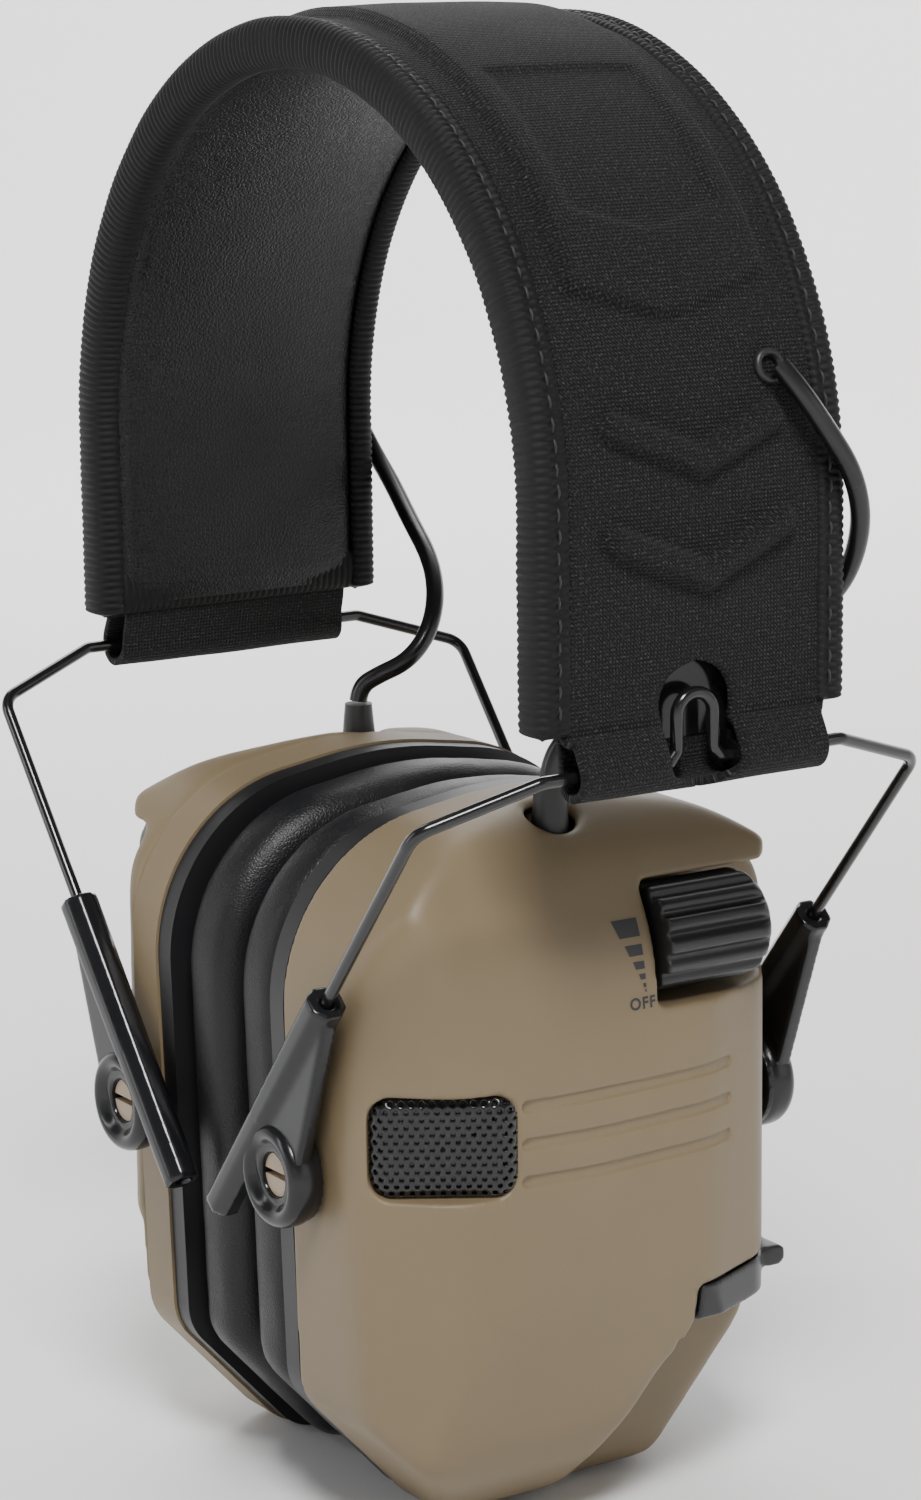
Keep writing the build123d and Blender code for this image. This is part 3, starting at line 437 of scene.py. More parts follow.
@dataclass(frozen=True)
class Finish:
    """One surface finish.

    Attributes set the colour, gloss and pattern; depth is the bump's distance in metres.
    """

    name: str
    color: tuple[float, float, float]
    roughness: float
    pattern: Pattern = Pattern.MOULDED
    scale: float = 3000.0
    strength: float = 0.25
    depth: float = 0.00005
    variation: float = 0.15
    gloss_swing: float = 0.1
    metallic: float = 0.0
    coat: float = 0.0
    sheen: float = 0.0
    fleck: float = 0.0
    specular: float = 0.5

    def build(self, effects: SharedEffects) -> bpy.types.Material:
        """Makes the material: a Principled shader fed by the pattern's colour, roughness and bump.

        Args:
            effects: the shared node groups.

        Returns:
            The material.
        """
        material = bpy.data.materials.new(self.name)
        material.use_nodes = True
        graph = Graph(material.node_tree)
        graph.tree.nodes.clear()
        end = graph.add("ShaderNodeOutputMaterial")
        shader = graph.add("ShaderNodeBsdfPrincipled", Metallic=self.metallic, Coat_Weight=self.coat)
        shader.inputs["Sheen Weight"].default_value = self.sheen
        shader.inputs["Sheen Roughness"].default_value = 0.5
        shader.inputs["Specular IOR Level"].default_value = self.specular
        shader.inputs["Coat Roughness"].default_value = 0.12
        graph.join(shader.outputs[0], end.inputs[0])
        on_map = self.pattern in (Pattern.KNIT, Pattern.TAPE)
        if on_map:
            place = graph.add("ShaderNodeUVMap", uv_map="surface").outputs[0]
        else:
            place = graph.add("ShaderNodeTexCoord").outputs["Object"]
        choice = {
            Pattern.MOULDED: (effects.grain, "Scale"),
            Pattern.FOAM: (effects.pebble, "Scale"),
            Pattern.LEATHER: (effects.pebble, "Scale"),
            Pattern.KNIT: (effects.knit, "Pitch"),
            Pattern.TAPE: (effects.thread, "Pitch"),
        }
        group, size = choice[self.pattern]
        texture = graph.add("ShaderNodeGroup", node_tree=group)
        texture.inputs[size].default_value = self.scale
        graph.join(place, texture.inputs["Vector"])
        # The colour drifts with the pattern's mask. On the knit finishes that mask holds the loop height, so
        # this paints shade into the loop hollows as well as giving the pale fibres their own tone.
        tint = graph.add("ShaderNodeGroup", node_tree=effects.drift)
        tint.inputs["Color"].default_value = (*self.color, 1)
        tint.inputs["Amount"].default_value = self.variation
        graph.join(texture.outputs["Mask"], tint.inputs["Mask"])
        shade = tint.outputs[0]
        # Pale fibres mixed in by the mask. On the knits the mask also holds the loop height, so the loop crests
        # get a little painted highlight too.
        if self.fleck:
            pale = graph.add("ShaderNodeMix", data_type="RGBA")
            pale.inputs["B"].default_value = (self.fleck, self.fleck, self.fleck, 1)
            amount = graph.maths("POWER", texture.outputs["Mask"], 2.2)
            graph.join(graph.maths("MINIMUM", amount, 1.0), pale.inputs["Factor"])
            graph.join(shade, pale.inputs["A"])
            shade = pale.outputs["Result"]
        graph.join(shade, shader.inputs["Base Color"])
        swing = graph.maths("SUBTRACT", texture.outputs["Mask"], 0.5)
        rough = graph.maths("MULTIPLY_ADD", swing, self.gloss_swing, self.roughness)
        graph.join(rough, shader.inputs["Roughness"])
        bump = graph.add("ShaderNodeBump", Strength=self.strength, Distance=self.depth)
        graph.join(texture.outputs["Height"], bump.inputs["Height"])
        graph.join(bump.outputs[0], shader.inputs["Normal"])
        return material


TAN = (0.175, 0.13, 0.073)
FINISHES = (
    Finish(
        "band_knit", (0.006, 0.006, 0.006), 0.8, Pattern.KNIT, 0.55, 0.9, 0.00024, 0.5, 0.05,
        sheen=0.03, fleck=0.075, specular=0.2,
    ),
    Finish(
        "sleeve_knit", (0.006, 0.006, 0.006), 0.8, Pattern.KNIT, 0.55, 0.9, 0.00024, 0.5, 0.05,
        sheen=0.03, fleck=0.075, specular=0.2,
    ),
    Finish(
        "band_lining", (0.005, 0.005, 0.006), 0.36, Pattern.LEATHER, 1500.0, 0.5, 0.00012, 0.3,
        0.25, specular=0.35,
    ),
    Finish(
        "band_binding", (0.004, 0.004, 0.004), 0.58, Pattern.TAPE, 0.2, 0.5, 0.00006, 0.5, 0.2,
        sheen=0.01, specular=0.25,
    ),
    Finish(
        "end_binding", (0.004, 0.004, 0.004), 0.6, Pattern.TAPE, 0.2, 0.5, 0.00006, 0.5, 0.2,
        sheen=0.01, specular=0.25,
    ),
    Finish(
        "sewing_thread", (0.012, 0.012, 0.012), 0.5, Pattern.TAPE, 0.12, 0.4, 0.00004, 0.4, 0.1,
        sheen=0.1,
    ),
    Finish("spring_steel", (0.42, 0.43, 0.46), 0.3, scale=900.0, metallic=1.0),
    Finish("cable_jacket", (0.007, 0.007, 0.007), 0.28, scale=2500.0, strength=0.08, variation=0.2),
    Finish("end_plate_plastic", (0.008, 0.008, 0.008), 0.14, scale=1200.0, strength=0.04, variation=0.2),
    Finish("grommet_rubber", (0.015, 0.015, 0.015), 0.42, scale=2600.0, strength=0.15),
    Finish("coated_wire", (0.012, 0.012, 0.012), 0.2, scale=900.0, strength=0.06, metallic=0.35, coat=0.5),
    Finish(
        "slider_plastic", (0.008, 0.0082, 0.0092), 0.21, scale=700.0, strength=0.07,
        gloss_swing=0.2, specular=0.45,
    ),
    Finish("shell_plastic", TAN, 0.5, scale=3800.0, strength=0.3, depth=0.00003, variation=0.07),
    Finish("base_plastic", TAN, 0.5, scale=3800.0, strength=0.3, depth=0.00003, variation=0.07),
    Finish("plate_plastic", (0.008, 0.008, 0.009), 0.45, scale=3200.0, strength=0.2),
    Finish(
        "cushion_skin", (0.006, 0.006, 0.007), 0.42, Pattern.LEATHER, 1900.0, 0.35, 0.00008, 0.25,
        0.2, specular=0.35,
    ),
    Finish("acoustic_foam", (0.02, 0.02, 0.02), 0.9, Pattern.FOAM, 900.0, 1.0, 0.0005, 0.5),
    Finish("speaker_plastic", (0.02, 0.02, 0.02), 0.4),
    Finish("board_laminate", (0.02, 0.09, 0.035), 0.35, variation=0.3),
    Finish("control_metal", (0.55, 0.55, 0.55), 0.3, metallic=1.0),
    Finish("grille_metal", (0.012, 0.012, 0.012), 0.2, scale=1500.0, strength=0.05, metallic=0.4, coat=0.4),
    Finish("microphone_metal", (0.03, 0.03, 0.03), 0.5, metallic=0.2),
    Finish("knob_plastic", (0.014, 0.014, 0.014), 0.38, scale=2600.0, strength=0.15, gloss_swing=0.2),
    Finish("pin_plastic", (0.36, 0.28, 0.2), 0.45, scale=2200.0, strength=0.2),
    Finish("screw_steel", (0.5, 0.5, 0.5), 0.3, metallic=1.0),
    Finish("cell_jacket", (0.1, 0.11, 0.12), 0.3, variation=0.2),
    Finish("contact_nickel", (0.6, 0.6, 0.58), 0.22, metallic=1.0),
    Finish("door_plastic", (0.008, 0.008, 0.009), 0.36, scale=2600.0, strength=0.2),
    Finish("dial_print", (0.022, 0.022, 0.022), 0.5, scale=3000.0, strength=0.1),
    Finish("floor_paper", (0.86, 0.86, 0.86), 0.9, scale=60.0, strength=0.02, variation=0.01),
)


@dataclass
class FinishShelf:
    """All the materials by name, and the frame's nodes they are put on."""

    nodes: dict[str, bpy.types.Object]
    slots: dict[str, str]
    materials: dict[str, bpy.types.Material] = field(default_factory=dict)

    def build(self) -> None:
        """Makes every material and puts each on the frame's nodes of its slot."""
        effects = SharedEffects()
        self.materials = {finish.name: finish.build(effects) for finish in FINISHES}
        for name, node in self.nodes.items():
            for place in node.material_slots:
                place.material = self.materials[self.slots[name]]

    def dress(self, piece: bpy.types.Object, name: str) -> bpy.types.Object:
        """Gives a new piece its one material."""
        piece.data.materials.clear()
        piece.data.materials.append(self.materials[name])
        return piece


# ---------------------------------------------------------------- headband


@dataclass
class Headband:
    """The sewn band: knit outer cover, leatherette lining, ribbed binding and its stitching."""

    shelf: FinishShelf
    radius: float = 62.7
    centre_z: float = 94.5
    cover_half_width: float = 22.0
    tongue_half_width: float = 20.2
    lining_radius: float = 57.5
    hinge: tuple[float, float] = (62.6, 60.5)
    sleeve_radius: float = 3.35
    cutout_half_width: float = 5.8
    cutout_top_z: float = 74.0
    flex_angle: float = 35.0
    rib_pitch: float = 1.12
    upper_chevron: tuple[tuple[float, float], ...] = (
        (-13.2, 87.2), (-6.0, 89.9), (0.4, 92.4), (6.3, 90.0), (12.6, 87.3),
    )
    lower_chevron: tuple[tuple[float, float], ...] = (
        (-13.0, 102.0), (-5.8, 104.8), (1.0, 107.4), (7.5, 104.4), (14.0, 101.2),
    )

    def leg_reach(self, z: float) -> float:
        """Distance along the outer face from the crown's middle to height z on the straight leg."""
        return self.radius * np.pi / 2 + self.centre_z - z

    def face_line(self, radius: float, end_z: float, step: float) -> np.ndarray:
        """The band's line in XZ at a radius: a quarter circle, then a straight leg down to end_z."""
        turn = np.linspace(0, np.pi / 2, 200)
        arch = np.stack([radius * np.sin(turn), self.centre_z + radius * np.cos(turn)], -1)
        line = np.vstack([arch, [[radius, end_z]]])
        length = radius * np.pi / 2 + self.centre_z - end_z
        return resample(line, int(length / step) + 1)

    @staticmethod
    def frame_of(line: np.ndarray) -> tuple[np.ndarray, np.ndarray]:
        """Arc length along an XZ line, and its outward normal, which is the tangent turned a quarter."""
        tangent = np.gradient(line, axis=0)
        tangent = tangent / np.linalg.norm(tangent, axis=1, keepdims=True)
        reach = np.concatenate([[0.0], np.cumsum(np.linalg.norm(np.diff(line, axis=0), axis=1))])
        return reach, np.stack([-tangent[:, 1], tangent[:, 0]], -1)

    def place(self, side: Side, piece: bpy.types.Object, finish: str, *nodes: str) -> bpy.types.Object:
        """Dresses a piece, lets it replace nodes and bakes its transform into its mesh."""
        self.shelf.dress(piece, finish)
        if nodes:
            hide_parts(*nodes)
        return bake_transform(piece)

    def emboss(self, across: np.ndarray, along: np.ndarray) -> np.ndarray:
        """Height of the pressed pattern: a raised crown panel with a blunt tip, and two chevron ridges."""
        lean = 1.2 * np.sin(across / 14.0)
        upper = line_distance(across, along, self.upper_chevron)
        lower = line_distance(across, along, self.lower_chevron)
        ridges = 1.7 * np.exp(-((upper / 1.9) ** 6)) + 1.7 * np.exp(-((lower / 1.9) ** 6))
        ridges = ridges - 0.25 * np.exp(-((upper / 4.5) ** 2)) - 0.25 * np.exp(-((lower / 4.5) ** 2))
        tip = 73.0 - 0.34 * np.maximum(np.abs(across + 1.5) - 2.0, 0)
        panel = smooth_step(17.2 - np.abs(across + lean), -0.9, 0.9) * smooth_step(tip - along, -0.9, 0.9)
        inner_tip = 61.0 - 0.34 * np.maximum(np.abs(across) - 2.0, 0)
        window = smooth_step(12.0 - np.abs(across), -0.9, 0.9) * smooth_step(inner_tip - along, -0.9, 0.9)
        window = window * smooth_step(along, 31.0, 32.8)
        return ridges + 1.6 * panel - 0.6 * window

    def cover(self, side: Side) -> bpy.types.Object:
        """The knit cover of one half: a strip along the band's outer face, round the hinge and up inside.

        Above the cutout the two halves of each row meet at Y 0; below its round top they part to the cutout's
        half width, which follows a half circle, and they close again on the inner side.
        """
        hinge_x, hinge_z = self.hinge
        turn = np.radians(np.linspace(20, -200, 23))
        hook = np.array([hinge_x, hinge_z]) + self.sleeve_radius * np.stack([np.cos(turn), np.sin(turn)], -1)
        face = self.face_line(self.radius, 67.5, 0.5)
        line = np.vstack([face, hook, [[58.6, 64.5], [58.2, 68.0], [58.2, 71.0]]])
        line = soften(resample(line, 330), 9)
        reach, normal = self.frame_of(line)
        share = np.linspace(0, 1, 30)
        top = self.leg_reach(self.cutout_top_z)
        bend = np.clip((top + self.cutout_half_width - reach) / self.cutout_half_width, 0, 1)
        gap = self.cutout_half_width * np.sqrt(1 - bend**2)
        gap = gap * (1 - smooth_step(reach, 132.6, 138.4) ** 1.5)
        corner = smooth_step(reach, self.leg_reach(67.0), self.leg_reach(64.4))
        half = self.cover_half_width + (self.tongue_half_width - self.cover_half_width) * corner
        half = half - 0.5 * smooth_step(reach, 138.0, 146.0)
        row = gap[:, None] + (half - gap)[:, None] * share[None, :]
        across = np.concatenate([-row[:, ::-1], row], axis=1)
        along = np.broadcast_to(reach[:, None], across.shape)
        lift = self.emboss(across, along) * smooth_step(124 - along, 0, 6)
        puff = 0.55 * (1 - (across / 22.0) ** 2) * smooth_step(122 - along, 0, 10)
        tuck = 0.9 * smooth_step(np.abs(across), 20.2, 21.6) * smooth_step(118 - along, 0, 6)
        seam = 0.8 * np.exp(-(((along - self.leg_reach(66.2)) / 0.55) ** 2))
        seam = seam * smooth_step(np.abs(across), 5.5, 7.0)
        rim = np.abs(across) - np.broadcast_to(gap[:, None], across.shape)
        fold = 0.5 * np.exp(-((rim / 0.7) ** 2)) * smooth_step(along, top - 0.5, top + 2)
        fold = fold * (1 - smooth_step(along, 133.0, 136.5))
        uneven = 0.14 * ripple(along, across, 5, 9, 17.0)
        height = lift + puff - tuck - seam - fold + uneven + 0.15
        spot = np.stack(
            [
                line[:, None, 0] + normal[:, None, 0] * height,
                across,
                line[:, None, 1] + normal[:, None, 1] * height,
            ],
            -1,
        )
        spot[..., 0] *= side.value
        rows, columns = across.shape
        faces = grid_faces(rows, columns)
        middle = columns // 2 - 1
        seam_faces = faces[:, 0] % columns == middle
        above = faces[:, 0] // columns < np.searchsorted(reach, top) - 1
        inside = faces[:, 0] // columns > np.searchsorted(reach, 138.2)
        faces = faces[~seam_faces | above | inside]
        if side is Side.LEFT:
            faces = faces[:, ::-1]
        uv = np.stack([along.ravel(), across.ravel()], -1)
        piece = mesh_object(f"cover_skin_{side.word}", spot.reshape(-1, 3), faces, uv)
        weld(piece, 0.02 * MM)
        wall = piece.modifiers.new("wall", "SOLIDIFY")
        wall.thickness = 1.1 * MM
        wall.offset = -1
        wall.use_rim = True
        freeze(piece)
        return self.place(side, piece, "band_knit", f"outer_cover_{side.word}", f"end_sleeve_{side.word}")

    def lining(self, side: Side) -> bpy.types.Object:
        """The padded lining of one half: a strip on the inner face, crowned across and slightly wrinkled."""
        line = self.face_line(self.lining_radius, 67.5, 0.9)
        reach, normal = self.frame_of(line)
        share = np.linspace(-1, 1, 41)
        across = 22.2 * np.broadcast_to(share[None, :], (len(line), 41))
        along = np.broadcast_to(reach[:, None], across.shape)
        puff = 1.25 * (1 - np.abs(across / 22.2) ** 2.6)
        wrinkle = 0.16 * ripple(along, across, 11, 12, 14.0) + 0.22 * ripple(along, 0.25 * across, 17, 8, 22.0)
        pinch = 0.8 * smooth_step(np.abs(across), 19.6, 21.0)
        pinch = pinch + 0.6 * smooth_step(along, reach[-1] - 3, reach[-1])
        depth = puff + wrinkle * (1 - (across / 22.2) ** 2) - pinch
        spot = np.stack(
            [
                line[:, None, 0] - normal[:, None, 0] * depth,
                across,
                line[:, None, 1] - normal[:, None, 1] * depth,
            ],
            -1,
        )
        spot[..., 0] *= side.value
        faces = grid_faces(*across.shape)
        if side is Side.RIGHT:
            faces = faces[:, ::-1]
        uv = np.stack([along.ravel(), across.ravel()], -1)
        piece = mesh_object(f"lining_{side.word}", spot.reshape(-1, 3), faces, uv)
        wall = piece.modifiers.new("wall", "SOLIDIFY")
        wall.thickness = 1.4 * MM
        wall.offset = -1
        freeze(piece)
        return self.place(side, piece, "band_lining", f"inner_pad_{side.word}")

    def binding(self, side: Side, edge: int) -> bpy.types.Object:
        """Ribbed tape folded over one edge: a U profile carried down the band, raised once per rib pitch.

        The profile is given as (height above the outer face, distance from the middle); a rib is a rounded
        hump, the square root of a raised cosine, and the strip beside the seam has shorter, shifted ribs.
        """
        profile = np.array(
            [(-0.5, 20.0), (0.5, 20.4), (0.8, 21.2), (0.55, 21.95), (0.25, 22.25), (0.85, 22.7), (0.95, 23.6),
             (0.6, 24.5), (-0.3, 25.1), (-1.6, 25.4), (-3.0, 25.45), (-4.4, 25.3), (-5.6, 24.8), (-6.25, 23.8),
             (-6.35, 22.7), (-6.2, 21.6), (-5.6, 20.9), (-4.9, 21.0)]
        )
        profile = soften(resample(profile, 44), 5)
        tangent = np.gradient(profile, axis=0)
        tangent = tangent / np.linalg.norm(tangent, axis=1, keepdims=True)
        outward = np.stack([tangent[:, 1], -tangent[:, 0]], -1)
        line = self.face_line(self.radius, 65.4, self.rib_pitch / 6)
        reach, normal = self.frame_of(line)
        strip = profile[:, 1] < 22.2
        strip = strip & (profile[:, 0] > -2)
        shift = np.where(strip, 0.45, 0.0)
        phase = 2 * np.pi * (reach[:, None] / self.rib_pitch + shift[None, :])
        hump = np.sqrt(np.clip(0.5 + 0.5 * np.cos(phase), 0, 1))
        loose = 0.12 * ripple(reach[:, None], 4.0 * np.arange(len(profile))[None, :] / 9, 31 + edge, 8, 19.0)
        height = 0.27 * hump * (1 - 0.35 * strip[None, :]) + loose - 0.15
        side_off = profile[None, :, 0] + outward[None, :, 0] * height
        across = profile[None, :, 1] + outward[None, :, 1] * height
        close = 1.0 - 0.97 * smooth_step(reach, reach[-1] - 1.6, reach[-1])[:, None] ** 2
        side_off = -2.7 + (side_off + 2.7) * close
        across = 22.9 + (across - 22.9) * close
        spot = np.stack(
            [
                line[:, None, 0] + normal[:, None, 0] * side_off,
                edge * across,
                line[:, None, 1] + normal[:, None, 1] * side_off,
            ],
            -1,
        )
        spot[..., 0] *= side.value
        faces = grid_faces(*across.shape)
        if side.value * edge < 0:
            faces = faces[:, ::-1]
        spread = np.concatenate([[0.0], np.cumsum(np.linalg.norm(np.diff(profile, axis=0), axis=1))])
        grid = np.broadcast_arrays(reach[:, None], spread[None, :])
        uv = np.stack([grid[0].ravel(), grid[1].ravel()], -1)
        word = "back" if edge > 0 else "front"
        piece = mesh_object(f"binding_{word}_{side.word}", spot.reshape(-1, 3), faces, uv)
        nodes = (f"edge_binding_{side.word}",) if edge > 0 else ()
        return self.place(side, piece, "band_binding", *nodes)

    def stitches(self, side: Side, edge: int) -> bpy.types.Object:
        """Sewing thread along the binding: short rounded stitches, sunk at both ends by a half sine."""
        line = self.face_line(self.radius, 66.5, 0.5)
        reach, normal = self.frame_of(line)
        pitch, length, thick = 2.9, 2.3, 0.2
        starts = np.arange(0.6, reach[-1] - pitch, pitch)
        share = np.linspace(0, 1, 7)
        ring = np.linspace(0, 2 * np.pi, 6, endpoint=False)
        along = starts[:, None] + length * share[None, :]
        sunk = 0.34 * np.sin(np.pi * share) - 0.12
        taper = thick * np.sqrt(np.clip(np.sin(np.pi * (0.06 + 0.88 * share)), 0, 1))
        centre = np.stack([np.interp(along, reach, line[:, axis]) for axis in (0, 1)], -1)
        lift = np.stack([np.interp(along, reach, normal[:, axis]) for axis in (0, 1)], -1)
        height = 0.42 + sunk[None, :, None] + taper[None, :, None] * np.cos(ring)[None, None, :]
        across = 22.25 + 0.1 * np.sin(starts)[:, None, None]
        across = across + taper[None, :, None] * np.sin(ring)[None, None, :]
        across = np.broadcast_to(across, height.shape[:0] + (len(starts), 7, 6))
        height = np.broadcast_to(height, across.shape)
        spot = np.stack(
            [
                centre[..., None, 0] + lift[..., None, 0] * height,
                edge * across,
                centre[..., None, 1] + lift[..., None, 1] * height,
            ],
            -1,
        )
        spot[..., 0] *= side.value
        one = grid_faces(7, 6, wrap_columns=True)
        faces = (one[None] + 42 * np.arange(len(starts))[:, None, None]).reshape(-1, 4)
        if side.value * edge > 0:
            faces = faces[:, ::-1]
        flat = np.stack([np.broadcast_to(along[..., None], across.shape).ravel(), across.ravel()], -1)
        word = "back" if edge > 0 else "front"
        piece = mesh_object(f"stitches_{word}_{side.word}", spot.reshape(-1, 3), faces, flat)
        return self.place(side, piece, "sewing_thread")

    def spring(self, side: Side) -> bpy.types.Object:
        """One half of the steel spring inside the band: a flat strip that bends with the arch."""
        low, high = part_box("spring_band")
        line = self.face_line(high[2] / MM - self.centre_z, low[2] / MM, 1.5)
        across = np.linspace(low[1] / MM, high[1] / MM, 7)
        x, y = np.meshgrid(side.value * line[:, 0], across, indexing="ij")
        z = np.broadcast_to(line[:, 1:], x.shape)
        faces = grid_faces(*x.shape)
        spots = np.stack([x, y, z], -1).reshape(-1, 3)
        piece = mesh_object(f"spring_{side.word}", spots, faces[:, :: side.value])
        wall = piece.modifiers.new("wall", "SOLIDIFY")
        wall.thickness = 0.8 * MM
        wall.offset = -1
        freeze(piece)
        return self.place(side, piece, "spring_steel")

    def inner_cable(self, side: Side) -> bpy.types.Object:
        """One half of the cable inside the band: a round tube along the arch, as far as its grommet."""
        low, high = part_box("band_cable")
        thick = (high[1] - low[1]) / 2 / MM
        line = self.face_line(high[2] / MM - self.centre_z - thick, self.centre_z, 1.5)
        line = line[line[:, 1] > low[2] / MM + thick]
        _, normal = self.frame_of(line)
        turn = np.linspace(0, 2 * np.pi, 10, endpoint=False)
        x = side.value * (line[:, None, 0] + thick * normal[:, None, 0] * np.cos(turn))
        z = line[:, None, 1] + thick * normal[:, None, 1] * np.cos(turn)
        y = np.broadcast_to((low[1] + high[1]) / 2 / MM + thick * np.sin(turn), x.shape)
        faces = grid_faces(*x.shape, wrap_columns=True)
        piece = mesh_object(f"inner_cable_{side.word}", np.stack([x, y, z], -1).reshape(-1, 3), faces)
        recalculate(piece)
        return self.place(side, piece, "cable_jacket")

    def end_tape(self, side: Side) -> bpy.types.Object:
        """Ribbed tape across the lining's lower end: a flat rounded profile carried along Y."""
        profile = np.array(
            [(2.2, 72.6), (0.9, 72.9), (-0.1, 72.2), (-0.45, 70.6),
             (-0.5, 68.4), (-0.1, 66.6), (0.9, 65.9), (2.2, 66.0)]
        )
        profile = soften(resample(profile, 26), 5)
        across = np.arange(-22.4, 22.4, 0.19)
        hump = np.sqrt(np.clip(0.5 + 0.5 * np.cos(2 * np.pi * across / 1.12), 0, 1))
        end = 1.6 * smooth_step(np.abs(across), 20.6, 22.4)
        x = 57.6 + profile[None, :, 0] - 0.22 * hump[:, None] + end[:, None]
        z = np.broadcast_to(profile[None, :, 1], x.shape)
        spot = np.stack([side.value * x, np.broadcast_to(across[:, None], x.shape), z], -1)
        faces = grid_faces(*x.shape)
        if side is Side.LEFT:
            faces = faces[:, ::-1]
        uv = np.stack([np.broadcast_to(across[:, None], x.shape).ravel(), z.ravel()], -1)
        piece = mesh_object(f"end_tape_{side.word}", spot.reshape(-1, 3), faces, uv)
        self.shelf.dress(piece, "end_binding")
        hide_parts(f"end_binding_{side.word}")
        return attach(piece, f"arm_{side.word}")

    def build(self) -> None:
        """Makes every sewn piece of both halves."""
        for side in Side:
            cover = self.cover(side)
            lining = self.lining(side)
            tape = [self.binding(side, edge) for edge in (-1, 1)]
            thread = [self.stitches(side, edge) for edge in (-1, 1)]
            self.end_tape(side)
            spring, cable = self.spring(side), self.inner_cable(side)
            if side is Side.RIGHT:
                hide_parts("outer_cover_crown")
                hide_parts("inner_pad_crown")
                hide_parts("edge_binding_crown")
                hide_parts("spring_band")
                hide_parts("band_cable")
            log.info("%s half of the band: %d pieces", side.word, 3 + len(tape) + len(thread))


def weld(piece: bpy.types.Object, distance: float) -> None:
    """Merges a mesh's points that lie within distance of each other."""
    work = bmesh.new()
    work.from_mesh(piece.data)
    bmesh.ops.remove_doubles(work, verts=work.verts, dist=distance)
    work.to_mesh(piece.data)
    work.free()


# ---------------------------------------------------------------- cups


